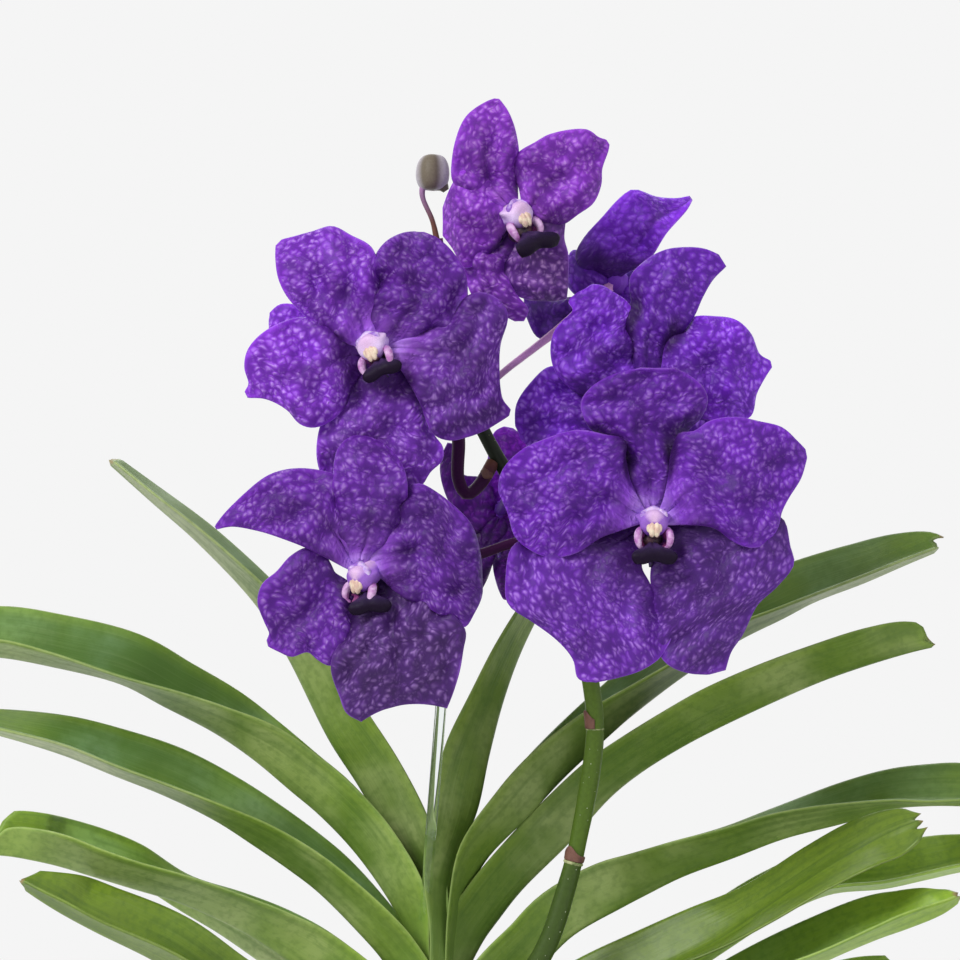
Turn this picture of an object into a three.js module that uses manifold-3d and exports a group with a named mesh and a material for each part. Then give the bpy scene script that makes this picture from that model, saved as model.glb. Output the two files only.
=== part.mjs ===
// A vanda orchid in bloom, standing in a plain glass vase.
// Millimetres, +Z up. The origin is the centre of the vase's foot, and the flowers face -Y.
import * as THREE from 'three';
import { mergeVertices } from 'three/addons/utils/BufferGeometryUtils.js';
import Module from 'manifold-3d';

const wasm = await Module();
wasm.setup();

// ---- Driving sizes ----
const GAP = 0.3; // clear space between pieces that touch
const FINEST = 0.05; // edges shorter than this are smoothed away where a piece is cut
const VASE = { height: 205, radius: 56, wall: 4, floor: 9, bevel: 1, corner: 3, sides: 32 };
const STEM = {
  bottom: 168, shoulder: 176, waist: 204, leafless: 220, fan: 236, top: 300,
  radius: 7, neck: 4, core: 2, sides: 12,
};
const ROOT = { radius: 3.2, sides: 6, steps: 16 };
const LEAF = {
  halfWidth: 17.5, thickness: 1.2, tipHalfWidth: 5, tipTaper: 0.45, leastSpread: 1.4, sharpestFold: 3,
  sheath: 4.5, flare: 0.15, // half depth of a leaf's base, and how fast it widens along the keel
};
const PEDUNCLE = { radius: 3.4, rachisRadius: 2.5, sides: 8, steps: 12 };
const PEDICEL = { radius: 1.7, sides: 6, steps: 8 }; // a flower's own stalk
const COLUMN = { length: 8, throat: 4, swelling: 6, radius: 3, tip: 2.1, neck: 2.4, foot: 3, sides: 12 };
const LIP = { top: 3, drop: 12, reach: 6, halfWidth: 3.5, swell: 3, thickness: 2.2, rows: 5 };
const BUD = { radius: 5.6, height: 6.4, stalk: 1.1 };
const BALL = { sides: 10, rings: 7 }; // facets of a bud or of a rear flower's hub
const TEPAL = { thickness: 1, rows: 6, columns: 3, baseReach: 0.25 };
const HUB = { radius: 4.5, rows: 4, columns: 2 }; // where a rear flower's tepals grow together

const COLOR = {
  glass: 0xdfe9e6, stem: 0x738852, peduncle: 0x52672e, root: 0xa9b29a, leaf: 0x5f7d3c,
  column: 0xba87db, lip: 0x37224a, tepal: 0x65319a, bud: 0x6a5f63,
};
const ROUGHNESS = {
  glass: 0.05, stem: 0.6, peduncle: 0.5, root: 0.8, leaf: 0.5, column: 0.5, lip: 0.5, tepal: 0.6, bud: 0.6,
};

// ---- Outlines, in the plane that faces the viewer ----
// A tepal has two edges from its base to its tip, as [x, z] from its flower's centre. depth is how
// far its base, middle and tip lie behind that centre, cup is how far its middle stands forward of
// its edges, and tipBulge how far the tip's middle stands out past its corners.
const FLOWERS = [
  { name: 'flower_1', centre: [-25, -72, 421],
    pedicel: [[36, -33, 431], [27, -36, 432.5], [14, -42, 428.5], [-8, -60, 424]],
    tepals: [
      { name: 'petal_left', depth: [0, -4, 6], cup: 2,
        left: [[-6, 2.5], [-12.5, 6], [-18.5, 9], [-26, 12], [-35.5, 15], [-44, 16.5], [-49.5, 15.5]],
        right: [[-3, 6.5], [-6, 16], [-8.5, 25.5], [-10, 33], [-16, 35.5], [-23.5, 36], [-31.5, 34],
            [-39.5, 28], [-46.5, 21], [-50, 16.5]] },
      { name: 'sepal_dorsal', depth: [0, -5, 2], cup: 3,
        left: [[-3, 6], [-7, 16], [-10, 25], [-10, 34.5], [-8.5, 42.5], [-4.5, 46.5], [-1.5, 47]],
        right: [[1.5, 6.5], [8.5, 12], [13, 18.5], [15, 26.5], [14.5, 34.5], [11, 41], [6, 45],
            [0.5, 47]] },
      { name: 'petal_right', depth: [0, -5, 4], cup: 3,
        left: [[2.5, 6], [7, 10], [12, 18.5], [15.5, 28.5], [19.5, 30.5], [25, 28], [31.5, 23],
            [36.5, 17.5], [39, 10], [40, 3]],
        right: [[5, 0.5], [12.5, -5], [22, -10.5], [30.5, -16], [34.5, -17.5], [37.5, -13], [40, -7.5],
            [40, -1]] },
      { name: 'sepal_left', depth: [2, -1, 6], cup: -2,
        left: [[-1.5, -12.5], [-3.5, -17], [-2.5, -23], [-5.5, -28], [-11, -30.5], [-14.5, -29],
            [-18.5, -26], [-24, -27.5], [-28, -26], [-32, -24]],
        right: [[-3, -7.5], [-6.5, -4.5], [-10, 2.5], [-14, 6.5], [-18.5, 8], [-24.5, 6], [-29, 1.5],
            [-34, -3], [-35.5, -9], [-33.5, -14.5], [-31.5, -19], [-32.5, -22]] },
      { name: 'sepal_right', depth: [3, -3, 5], cup: 3, tipBulge: -3.5,
        left: [[-0.5, -10.5], [-4.5, -19.5], [-10, -27.5], [-10.5, -33], [-8, -40.5], [-5.5, -46.5],
            [-0.5, -49.5]],
        right: [[5, -8.5], [16.5, -9], [28, -13.5], [34.5, -18.5], [34, -25], [33, -31.5], [31, -38.5],
            [28.5, -45]] },
    ] },
  { name: 'flower_2', centre: [72.5, -80, 439.5],
    pedicel: [[44.5, -34, 410], [52, -44, 414], [63, -58, 428]],
    tepals: [
      { name: 'petal_left', depth: [0, -5, 5], cup: 3,
        left: [[-5, -1.5], [-11, -3.5], [-17.5, -6], [-25.5, -11], [-33.5, -12.5], [-40, -10.5],
            [-46, -5.5], [-48.5, 2.5], [-51.5, 9.5]],
        right: [[-3.5, 3.5], [-7.5, 9.5], [-10, 17.5], [-10, 25], [-15.5, 28], [-24.5, 30.5],
            [-35, 28], [-45, 23], [-50.5, 16.5], [-51.5, 12]] },
      { name: 'petal_right', depth: [0, -5, 6], cup: 3,
        left: [[3.5, 3.5], [7, 11], [8.5, 20.5], [10, 28], [14.5, 29.5], [19.5, 33.5], [28, 35],
            [36.5, 33.5], [44, 31.5], [49, 27], [52, 24]],
        right: [[5, -1.5], [10, -1.5], [21, -2.5], [29, -8], [36, -9], [42, -3.5], [44, 3], [46.5, 8],
            [50.5, 14.5], [52.5, 21.5]] },
      { name: 'sepal_dorsal', depth: [1, 2, -4], cup: 2,
        left: [[-2.5, 4], [-7, 12], [-9, 22], [-14.5, 28], [-21, 31.5], [-24, 39.5], [-21, 44.5],
            [-13.5, 49], [-4, 51.5]],
        right: [[2.5, 4], [6, 12], [8, 22], [11.5, 29.5], [16.5, 34.5], [19, 40.5], [17.5, 45],
            [13.5, 48.5], [8, 51.5]] },
      { name: 'sepal_left', depth: [3, 0, 4], cup: 3,
        left: [[-6, -2.5], [-17.5, -5.5], [-30.5, -6], [-41, -7], [-46.5, -10], [-49, -19],
            [-48.5, -28], [-41, -33.5], [-31, -41], [-26.5, -47], [-25, -53], [-22, -54.5]],
        right: [[-1.5, -7], [-5, -15.5], [-1.5, -24], [3, -31.5], [7, -37.5], [3.5, -45.5],
            [-3.5, -50.5], [-11.5, -53], [-19, -54.5]] },
      { name: 'sepal_right', depth: [3, 1, 5], cup: 3,
        left: [[1.5, -7.5], [1.5, -18.5], [3.5, -27], [6.5, -37], [3.5, -44], [6, -48.5],
            [12.5, -51.5], [19.5, -52]],
        right: [[5.5, -3.5], [17, -2], [31.5, 0], [43, -0.5], [46.5, -9], [48, -14.5], [43, -21.5],
            [36, -28], [31, -38], [27, -44], [25, -50.5]] },
    ] },
  { name: 'flower_3', centre: [-21, -62, 497],
    pedicel: [[22, -31, 459], [13, -33, 457], [7, -36, 462], [4, -41, 475], [-8, -50, 490]],
    tepals: [
      { name: 'petal_left', depth: [0, -4, 5], cup: 2,
        left: [[-3.5, 1], [-9.5, 5.5], [-16.5, 8.5], [-23.5, 12], [-29.5, 18], [-32.5, 24],
            [-33.5, 30.5], [-33.5, 35.5]],
        right: [[-0.5, 3], [0.5, 12], [1, 23], [-1, 34.5], [-8, 39], [-14.5, 42], [-21.5, 40],
            [-31.5, 37.5]] },
      { name: 'sepal_dorsal', depth: [1, -3, 3], cup: 3,
        left: [[0.5, 3], [-0.5, 11], [-1.5, 20.5], [-0.5, 30.5], [3.5, 36.5], [9, 39.5], [14, 40]],
        right: [[7, 2.5], [17, 6], [26, 9], [30.5, 12], [31.5, 19], [30.5, 26.5], [27, 32.5],
            [22.5, 37], [16.5, 40]] },
      { name: 'petal_right', depth: [0, -5, 3], cup: 3,
        left: [[7, 1.5], [16.5, 5], [25.5, 10], [31, 17], [37, 19], [42.5, 16.5], [45, 12], [42.5, 3],
            [42, -5.5], [43, -16], [46, -20]],
        right: [[6, -3], [11, -10], [15.5, -18.5], [19.5, -28], [25, -30.5], [31, -29.5], [37.5, -27],
            [42.5, -24], [45.5, -22]] },
      { name: 'sepal_left', depth: [2, -2, 5], cup: 3,
        left: [[-3.5, -4.5], [-8, -10], [-11, -18], [-15, -23.5], [-20.5, -26], [-25, -25],
            [-29, -20.5], [-36.5, -16.5], [-43, -16]],
        right: [[-4.5, -0.5], [-9, 5], [-16, 8], [-25.5, 10.5], [-32.5, 9], [-39, 5], [-43, 0],
            [-44, -5.5], [-42.5, -11], [-44, -14]] },
      { name: 'sepal_right', depth: [3, 2, 5], cup: 3,
        left: [[-1.5, -6.5], [-8, -12.5], [-13.5, -20], [-18.5, -28], [-19.5, -37], [-16.5, -44.5],
            [-8.5, -48], [-1, -48.5]],
        right: [[4.5, -6], [10.5, -11.5], [15.5, -18.5], [19.5, -28], [23, -32.5], [23, -37],
            [19, -41], [15.5, -46], [8, -48.5]] },
    ] },
  { name: 'flower_4', centre: [71.5, -48, 484.5],
    pedicel: [[26.5, -32, 451], [44, -35, 462], [60, -39, 476]],
    tepals: [
      { name: 'sepal_dorsal', depth: [1, -3, 4], cup: 3,
        left: [[-1.5, 2], [-5, 8], [-6, 14.5], [-7, 22.5], [-5, 28], [-6, 33], [-6, 37.5], [-1, 43],
            [5.5, 46.5], [12, 47.5], [19, 47], [24, 45]],
        right: [[2.5, 2.5], [5.5, 9.5], [9.5, 16.5], [15.5, 24], [18.5, 30.5], [22, 36.5], [26.5, 41]] },
      { name: 'petal_left', depth: [0, -4, 3], cup: 3,
        left: [[-5, -1], [-14, -2.5], [-22, -1], [-27, 1.5], [-31.5, 6], [-33, 12.5], [-31.5, 19.5],
            [-25.5, 26], [-27, 29], [-23, 32.5]],
        right: [[-2.5, 2], [-6, 7], [-6, 12], [-7.5, 19.5], [-5, 25], [-7, 29], [-12, 32.5],
            [-15.5, 34.5], [-19, 35]] },
      { name: 'petal_right', depth: [0, -4, 5], cup: 3,
        left: [[2.5, 2], [7, 10], [11, 17], [16, 23], [23, 24], [29.5, 23], [34.5, 18.5], [37.5, 11.5],
            [41.5, 9]],
        right: [[4, -1.5], [13.5, -7], [24.5, -11], [34.5, -10], [36.5, -2.5], [40, 4], [42, 7]] },
      { name: 'sepal_left', depth: [3, 2, 6], cup: 2,
        left: [[-1.5, -5], [-8, -13.5], [-17, -19.5], [-28, -23], [-37.5, -22], [-43, -17.5]],
        right: [[-3.5, -2], [-12, 0.5], [-19.5, 1.5], [-28, 6], [-33.5, 7], [-39.5, 2], [-44.5, -5.5],
            [-45, -13]] },
      { name: 'sepal_right', depth: [3, 4, 8], cup: 2,
        left: [[0.5, -5], [2.5, -14.5], [6, -24.5], [12, -32.5], [19.5, -35.5], [26, -33.5]],
        right: [[3.5, -2.5], [12.5, -6], [22, -10], [30, -16.5], [32.5, -24], [30, -30.5]] },
    ] },
  { name: 'flower_5', centre: [27, -34, 541.5],
    pedicel: [[3.5, -25, 518], [13, -26, 528], [20, -28, 536]],
    tepals: [
      { name: 'sepal_dorsal', depth: [0, -3, 4], cup: 3,
        left: [[-2.5, 3.5], [-9, 7], [-15.5, 10], [-21, 13.5], [-21.5, 23], [-17.5, 34.5], [-11, 39.5],
            [-7.5, 41]],
        right: [[0.5, 5], [0.5, 12], [1, 20.5], [-0.5, 30.5], [-3, 37], [-6, 41]] },
      { name: 'petal_left', depth: [0, -4, 6], cup: 3,
        left: [[-3.5, -2], [-7.5, -7.5], [-13, -14.5], [-17.5, -16.5], [-21.5, -10], [-25, -5.5]],
        right: [[-3, 2.5], [-7, 9.5], [-12, 15], [-18.5, 16.5], [-22, 11.5], [-25, 4]] },
      { name: 'petal_right', depth: [0, -3, 4], cup: 3,
        left: [[1.5, 4.5], [1, 12], [1.5, 21.5], [6, 26], [11.5, 29], [23.5, 30.5], [27.5, 28],
            [30.5, 27]],
        right: [[4, 2], [9, 0.5], [14.5, -0.5], [20.5, 2], [26, 5.5], [28.5, 11.5], [29, 17], [31, 23],
            [31.5, 25.5]] },
      { name: 'sepal_left', depth: [2, -1, 4], cup: 2,
        left: [[-3.5, -5], [-11, -7.5], [-17, -13], [-17, -20.5], [-14.5, -26.5], [-8, -30.5],
            [-0.5, -34.5]],
        right: [[-1, -7], [-5, -11.5], [-6, -15.5], [-2, -22], [1.5, -27], [4.5, -31.5], [2.5, -34.5]] },
      { name: 'sepal_right', depth: [2, 1, 4], cup: 2,
        left: [[1, -7], [-1.5, -11.5], [-2, -16.5], [1.5, -22], [9, -27], [13.5, -27.5]],
        right: [[5, -2.5], [10, 0.5], [14.5, -0.5], [16, -7], [17.5, -11.5], [17.5, -20.5], [17, -27]] },
    ] },
];

const REAR_FLOWERS = [
  { name: 'rear_flower_1', centre: [61, 8, 520.5],
    pedicel: [[13, -30, 480], [20.5, -24, 488], [39.5, -10, 503], [55, 2, 516]],
    tepals: [
      { name: 'petal_1', depth: [0, -6, 6], cup: 3,
        left: [[-2.5, 1.5], [-8, 3], [-11.5, 8], [-9.5, 14.5], [-4.5, 22], [1.5, 29], [5.5, 31.5],
            [13.5, 29], [20.5, 28.5], [25, 29.5]],
        right: [[1.5, 2.5], [8, 7], [13, 11], [17, 16.5], [24, 24.5], [26, 28]] },
      { name: 'petal_2', depth: [0, -2, 4], cup: 2,
        left: [[-2, -1.5], [-5.5, 3.5], [-9.5, 8], [-14.5, 11], [-17, 7]],
        right: [[-2.5, -4], [-7.5, -6], [-13, -5], [-17, -0.5], [-18, 3.5]] },
      { name: 'petal_3', depth: [0, -2, 5], cup: 2,
        left: [[-2, -2.5], [-10.5, -5], [-20.5, -5], [-27, -2.5], [-31.5, -5]],
        right: [[-1.5, -6], [-7.5, -13.5], [-17, -18.5], [-26.5, -19], [-31.5, -9.5]] },
      { name: 'petal_4', depth: [0, 2, 8], cup: 2,
        left: [[-0.5, -4], [-2.5, -12], [-4, -21], [0, -27]],
        right: [[2, -3.5], [8, -10], [11.5, -19.5], [8, -27], [4, -28.5]] },
      { name: 'petal_5', depth: [0, 2, 8], cup: 2,
        left: [[1.5, 0.5], [8, 3.5], [16.5, 7], [25, 5.5], [28.5, 0.5]],
        right: [[2, -2.5], [8, -7.5], [17.5, -10], [26, -7.5], [29, -2.5]] },
    ] },
  { name: 'rear_flower_2', centre: [21.5, 26, 443],
    pedicel: [[27, -32, 449], [24, -12, 447], [22, 8, 444]],
    tepals: [
      { name: 'petal_1', depth: [0, 2, 6], cup: 2,
        left: [[-1.5, 2], [-4, 10], [-4, 19.5], [-2, 26.5], [1.5, 28.5]],
        right: [[2, 2.5], [8, 9.5], [10, 18.5], [8, 24.5], [4, 28]] },
      { name: 'petal_2', depth: [0, 2, 7], cup: 2,
        left: [[-2, -2], [-8, -7], [-11.5, -11.5], [-11, -17]],
        right: [[-2.5, 1.5], [-9, 4], [-15, 2], [-17, -5], [-15, -12]] },
      { name: 'petal_3', depth: [0, 2, 6], cup: 2,
        left: [[-1.5, -2.5], [-5.5, -11], [-8, -19], [-7, -27], [-3.5, -31.5]],
        right: [[2, -2.5], [7, -10], [9, -19], [7, -27], [1.5, -32]] },
      { name: 'petal_4', depth: [0, 2, 8], cup: 2,
        left: [[2.5, -1.5], [8, -7.5], [15, -17], [22.5, -20.5]],
        right: [[2.5, 1.5], [11, 2.5], [20.5, -0.5], [28, -9], [27, -17]] },
      { name: 'petal_5', depth: [0, 3, 9], cup: 2,
        left: [[1.5, 2.5], [7.5, 8], [15.5, 12], [22.5, 10]],
        right: [[2.5, 0.5], [10, 0.5], [19, 2], [25, 5.5]] },
    ] },
  { name: 'rear_flower_3', centre: [-34.5, -6, 496.5],
    pedicel: [[7, -27, 498], [-8, -18, 498], [-24, -10, 497]],
    tepals: [
      { name: 'petal_1', depth: [0, 2, 8], cup: 2,
        left: [[-2.5, 1.5], [-10, 0], [-19, 2], [-25, 6], [-24.5, 11]],
        right: [[-0.5, 3.5], [-4, 10], [-11, 15.5], [-18.5, 16.5], [-22.5, 13.5]] },
      { name: 'petal_2', depth: [0, 2, 8], cup: 2,
        left: [[-2, 4], [-5, 11.5], [-5, 20.5], [-0.5, 26]],
        right: [[2, 4], [7, 11], [7.5, 19.5], [3.5, 25]] },
      { name: 'petal_3', depth: [0, 2, 8], cup: 2,
        left: [[2, 2], [9, 7], [17.5, 7.5], [22, 3.5]],
        right: [[2.5, -1.5], [10, -5], [18.5, -4], [22, 0]] },
      { name: 'petal_4', depth: [0, 2, 8], cup: 2,
        left: [[0.5, -2.5], [2.5, -11], [8, -17], [13.5, -17]],
        right: [[3.5, -0.5], [11, -3.5], [17, -9], [17, -14.5]] },
      { name: 'petal_5', depth: [0, 2, 8], cup: 2,
        left: [[-3, -1.5], [-9.5, -7], [-12, -14.5], [-9.5, -19.5]],
        right: [[0, -3.5], [1.5, -11], [-0.5, -19], [-5.5, -21]] },
    ] },
];

// A leaf's stations run from its base to its tip, as [x, z, front, back, depth]: the keel's place,
// how far the front and the back margin stand off it, square to it, and how far it lies behind the
// stem. side is -1 for a leaf on the left of the stem and 1 for one on its right.
const LEAVES = [
  { name: 'leaf_centre', side: 1, stations: [[4, 276.5, 7, 6, 0], [3.5, 300, 6, 6, 0],
      [4.5, 315.5, 9, 8.5, 0], [7.5, 327.5, 11.5, 10.5, 0], [13, 341.5, 15, 14, 1],
      [17, 360, 14.5, 13.5, 3], [22, 379, 10.5, 10, 6], [28, 395.5, 8, 7, 10],
      [36.5, 412.5, 5.5, 5, 14], [43, 423.5, 2, 1.5, 17]] },
  { name: 'leaf_left_1', side: -1, stations: [[-4.5, 276.5, 12, 11.5, 0], [-3, 302, 13, 12, 0],
      [-6.5, 316.5, 13.5, 13, 0], [-15.5, 331, 14.5, 14, 1], [-26, 349.5, 15.5, 14.5, 3],
      [-36, 365, 15.5, 15, 5], [-50, 393, 13.5, 12.5, 9], [-60.5, 410.5, 9, 8.5, 13],
      [-80.5, 432, 6.5, 5.5, 18], [-97.5, 447, 4, 3.5, 22], [-111.5, 459.5, 1.5, 1.5, 25]] },
  { name: 'leaf_left_2', side: -1, stations: [[-5, 263, 12, 11.5, 0], [-8, 293.5, 12, 11.5, 0],
      [-13.5, 307, 12, 11.5, 0], [-26, 325.5, 14, 13.5, 0], [-39, 339.5, 14.5, 14.5, -2],
      [-49, 348, 14.5, 14.5, -4], [-62, 359, 13, 14.5, -7], [-75, 368, 9, 15.5, -10],
      [-92, 377, 5.5, 16.5, -14], [-107, 385, 1.5, 17, -18], [-131, 391, 3.5, 17, -22],
      [-148.5, 394, 5, 16.5, -24], [-163, 394, 5, 14.5, -25], [-174.5, 391.5, 2.5, 5, -26]] },
  { name: 'leaf_left_3', side: -1, stations: [[-5.5, 251, 13, 12, 0], [-8.5, 274.5, 13, 12, 0],
      [-17.5, 290, 12, 12.5, -1], [-27, 301, 11.5, 13.5, -3], [-40, 314, 10, 14.5, -6],
      [-49, 321, 9.5, 15, -8], [-62, 330, 8, 15.5, -11], [-75, 338.5, 5, 15.5, -14],
      [-92, 347, 3, 16, -17], [-109.5, 354, 2.5, 15, -20], [-127, 361, 2.5, 12.5, -23],
      [-148.5, 367.5, 1.5, 8, -26], [-160, 370, 1.5, 5.5, -27], [-169.5, 371.5, 1, 2.5, -28]] },
  { name: 'leaf_left_4', side: -1, stations: [[-6, 239, 13, 12, 0], [-11, 256, 13.5, 13, -1],
      [-26, 271.5, 15.5, 15, -3], [-46.5, 287.5, 15.5, 15.5, -6], [-57.5, 295.5, 13, 13.5, -8],
      [-70.5, 303, 10.5, 11, -11], [-87.5, 310.5, 9, 9, -14], [-103.5, 315.5, 8.5, 14, -17],
      [-116.5, 319.5, 9, 15.5, -19], [-128, 323, 10, 15.5, -21], [-136.5, 325, 9.5, 15.5, -23],
      [-144.5, 326, 7.5, 13, -24]] },
  { name: 'leaf_left_5', side: -1, stations: [[-6, 229, 12, 11.5, 4], [-12.5, 247.5, 13, 13, 6],
      [-29.5, 264.5, 14.5, 13.5, 9], [-46.5, 280, 14.5, 13.5, 12], [-59.5, 289.5, 13, 12, 15],
      [-74, 299.5, 10.5, 10, 18], [-87.5, 307.5, 8, 8, 21], [-97.5, 314, 4, 5, 24]] },
  { name: 'leaf_left_6', side: -1, stations: [[-6, 220.5, 13, 12, -1], [-14.5, 235.5, 14.5, 13.5, -4],
      [-33, 249, 14.5, 15, -9], [-53.5, 263, 11.5, 16.5, -14], [-75.5, 277, 7.5, 17.5, -19],
      [-93, 289.5, 5, 17.5, -23], [-115.5, 301, 3.5, 15.5, -28], [-127.5, 307.5, 3.5, 13.5, -31],
      [-135.5, 312.5, 2.5, 9.5, -33], [-142, 317, 1.5, 5, -34]] },
  { name: 'leaf_right_1', side: 1, stations: [[6, 269.5, 12, 11.5, 2], [4.5, 293.5, 11.5, 11, 2],
      [7, 309.5, 10, 9.5, 2], [16, 324.5, 11, 10, 3], [30.5, 339.5, 13, 12.5, 5], [42, 352, 13, 13, 7],
      [57, 366, 11, 13.5, 9], [65.5, 373.5, 8.5, 13.5, 11], [84.5, 388, 5, 15.5, 14],
      [102.5, 399.5, 4.5, 16.5, 17], [117.5, 407, 3, 16.5, 20], [128, 412.5, 1.5, 14.5, 22],
      [145, 419, 1.5, 13, 25], [159, 425, 1, 10, 27], [169.5, 429.5, 0.5, 4.5, 29]] },
  { name: 'leaf_right_2', side: 1, stations: [[6, 259.5, 13, 12, 2], [8, 281.5, 13.5, 13, 1],
      [14.5, 296, 14, 13.5, 0], [20.5, 304.5, 14.5, 13.5, 0], [28, 314, 14.5, 14, 0],
      [44.5, 330.5, 15.5, 14.5, -1], [58.5, 346, 14, 13.5, -2], [69, 354.5, 13, 12.5, -3],
      [83.5, 363.5, 13, 12.5, -4], [96, 370, 13.5, 13, -5], [114, 378.5, 13, 12, -6],
      [131.5, 386, 12, 11.5, -7], [149, 392, 11, 10.5, -8], [159, 395, 8.5, 8, -9],
      [167.5, 397, 4.5, 4, -9]] },
  { name: 'leaf_right_3', side: 1, stations: [[6.5, 246, 13.5, 13, 2], [14.5, 266, 15, 14.5, 1],
      [26.5, 280, 16.5, 15.5, 0], [36.5, 290, 16.5, 16, 0], [46, 299, 17, 16.5, 0],
      [62.5, 308.5, 16.5, 16, 0], [71, 313, 14.5, 14, 0], [83, 319, 12, 11.5, 0],
      [100.5, 325.5, 10, 10, 0], [117.5, 332, 8.5, 10, 0], [138.5, 337.5, 6, 12.5, 0],
      [155.5, 342.5, 2, 12.5, -1], [166.5, 343.5, 0.5, 13, -2], [178, 343.5, 1, 13.5, -3],
      [191.5, 342.5, 1.5, 11.5, -4], [202.5, 340, 1.5, 4, -5]] },
  { name: 'leaf_right_4', side: 1, stations: [[7, 235.5, 13.5, 13, 0], [18, 251, 14.5, 14.5, -3],
      [35, 264.5, 12, 15.5, -7], [55.5, 276.5, 6, 16, -12], [74.5, 286, 0.5, 15.5, -16],
      [94.5, 296, -2, 14.5, -20], [110.5, 306.5, -4, 11, -24], [130, 319.5, -5.5, 10.5, -28],
      [145, 328.5, -7, 10, -31], [155.5, 334, -8, 8, -33], [165.5, 338, -4, 4, -35]] },
  { name: 'leaf_right_5', side: 1, stations: [[7, 227, 13, 12, 4], [21.5, 242.5, 13.5, 13.5, 7],
      [42, 256, 13.5, 14.5, 10], [72.5, 276.5, 10, 15, 14], [96, 292.5, 7, 15, 17],
      [116.5, 305.5, 3.5, 15, 20], [133.5, 313, 1.5, 14.5, 22], [152.5, 315, 1.5, 13.5, 24],
      [166.5, 318, 1.5, 13.5, 26], [178, 320.5, 1.5, 12, 28], [189.5, 322, 1.5, 9.5, 29],
      [197.5, 322.5, 1, 4, 30]] },
  { name: 'leaf_right_6', side: 1, stations: [[7, 218.5, 13, 12, -2], [25, 234, 14.5, 14.5, -6],
      [55.5, 249, 13.5, 15, -12], [86, 265.5, 10, 15.5, -18], [113, 281.5, 5.5, 15, -24],
      [131.5, 291, 3, 14.5, -28], [149, 298.5, 3.5, 14, -31], [159, 302, 4.5, 12.5, -33],
      [171, 307, 3.5, 9, -35], [178, 312, 1, 3, -36]] },
  { name: 'leaf_right_7', side: 1, stations: [[6.5, 212, 12, 11.5, 3], [25, 222, 13.5, 13.5, 5],
      [55.5, 236.5, 13, 14.5, 8], [89.5, 252.5, 9.5, 15, 12], [120, 266, 5.5, 15, 16],
      [140.5, 275.5, 3.5, 14.5, 19], [152.5, 280, 3, 12, 21], [159.5, 283, 2.5, 9, 22]] },
];

const PEDUNCLE_PATH = [[5, -8, 262], [21.5, -20, 276.5], [35, -27, 291], [44.5, -30, 317],
  [50.5, -32, 344.5], [53.5, -34, 366.5], [52.5, -35, 382], [48, -35, 402]];
const RACHIS_PATH = [[53.5, -34, 366.5], [52.5, -35, 382], [48, -35, 402], [39.5, -34, 424.5],
  [29, -32, 446.5], [19, -30, 463.5], [11, -28, 480.5], [6, -26, 501], [2.5, -25, 519.5], [0.5, -24, 535]];
const BUD_PATH = [[0.5, -24, 532], [-1.5, -24, 541], [-5, -24, 550], [-4, -24, 556]];
const BUD_CENTRE = [-1.5, -24, 557.5];

// The aerial roots hang from the stem's leafless foot and end on the vase's floor.
const ON_FLOOR = VASE.floor + ROOT.radius + GAP;
const ROOT_PATHS = [
  [[3, -3, 190], [16, -12, 165], [26, -20, 125], [20, -28, 85], [4, -32, 50], [-8, -26, 24],
    [-2, -14, ON_FLOOR], [10, -8, ON_FLOOR]],
  [[4, 2, 185], [20, 8, 160], [34, 14, 120], [38, 6, 80], [32, 14, 45], [22, 26, 20],
    [8, 32, ON_FLOOR], [-6, 32, ON_FLOOR]],
  [[-1, 4, 182], [-4, 18, 155], [2, 30, 115], [10, 34, 75], [2, 24, 40], [-8, 22, 20],
    [-14, 12, ON_FLOOR], [-12, 0, ON_FLOOR]],
  [[-3, -2, 178], [-11, -9, 150], [-12, -6, 110], [-4, 2, 75], [2, 8, 45], [12, 6, 22],
    [24, 4, ON_FLOOR], [34, -6, ON_FLOOR]],
];

// ---- Solids ----
const vector = ([x, y, z]) => new THREE.Vector3(x, y, z);

function signedVolume(positions, triangles) {
  const corners = [0, 1, 2].map(() => new THREE.Vector3());
  let volume = 0;
  for (let i = 0; i < triangles.length; i += 3) {
    corners.forEach((corner, k) => corner.fromArray(positions, triangles[i + k] * 3));
    volume += corners[0].dot(corners[1].cross(corners[2])) / 6;
  }
  return volume;
}

// A manifold solid from a closed geometry, with its faces turned outwards.
function solidOf(geometry) {
  const bare = geometry.clone();
  bare.deleteAttribute('normal');
  bare.deleteAttribute('uv');
  const merged = mergeVertices(bare, 1e-4);
  const vertProperties = new Float32Array(merged.attributes.position.array);
  const triVerts = new Uint32Array(merged.index.array);
  if (signedVolume(vertProperties, triVerts) < 0) {
    triVerts.reverse();
  }
  return new wasm.Manifold(new wasm.Mesh({ numProp: 3, vertProperties, triVerts }));
}

function geometryOf(solid) {
  const mesh = solid.getMesh();
  const geometry = new THREE.BufferGeometry();
  geometry.setAttribute('position', new THREE.BufferAttribute(new Float32Array(mesh.vertProperties), 3));
  geometry.setIndex(new THREE.BufferAttribute(new Uint32Array(mesh.triVerts), 1));
  geometry.computeVertexNormals();
  return geometry;
}

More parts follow.
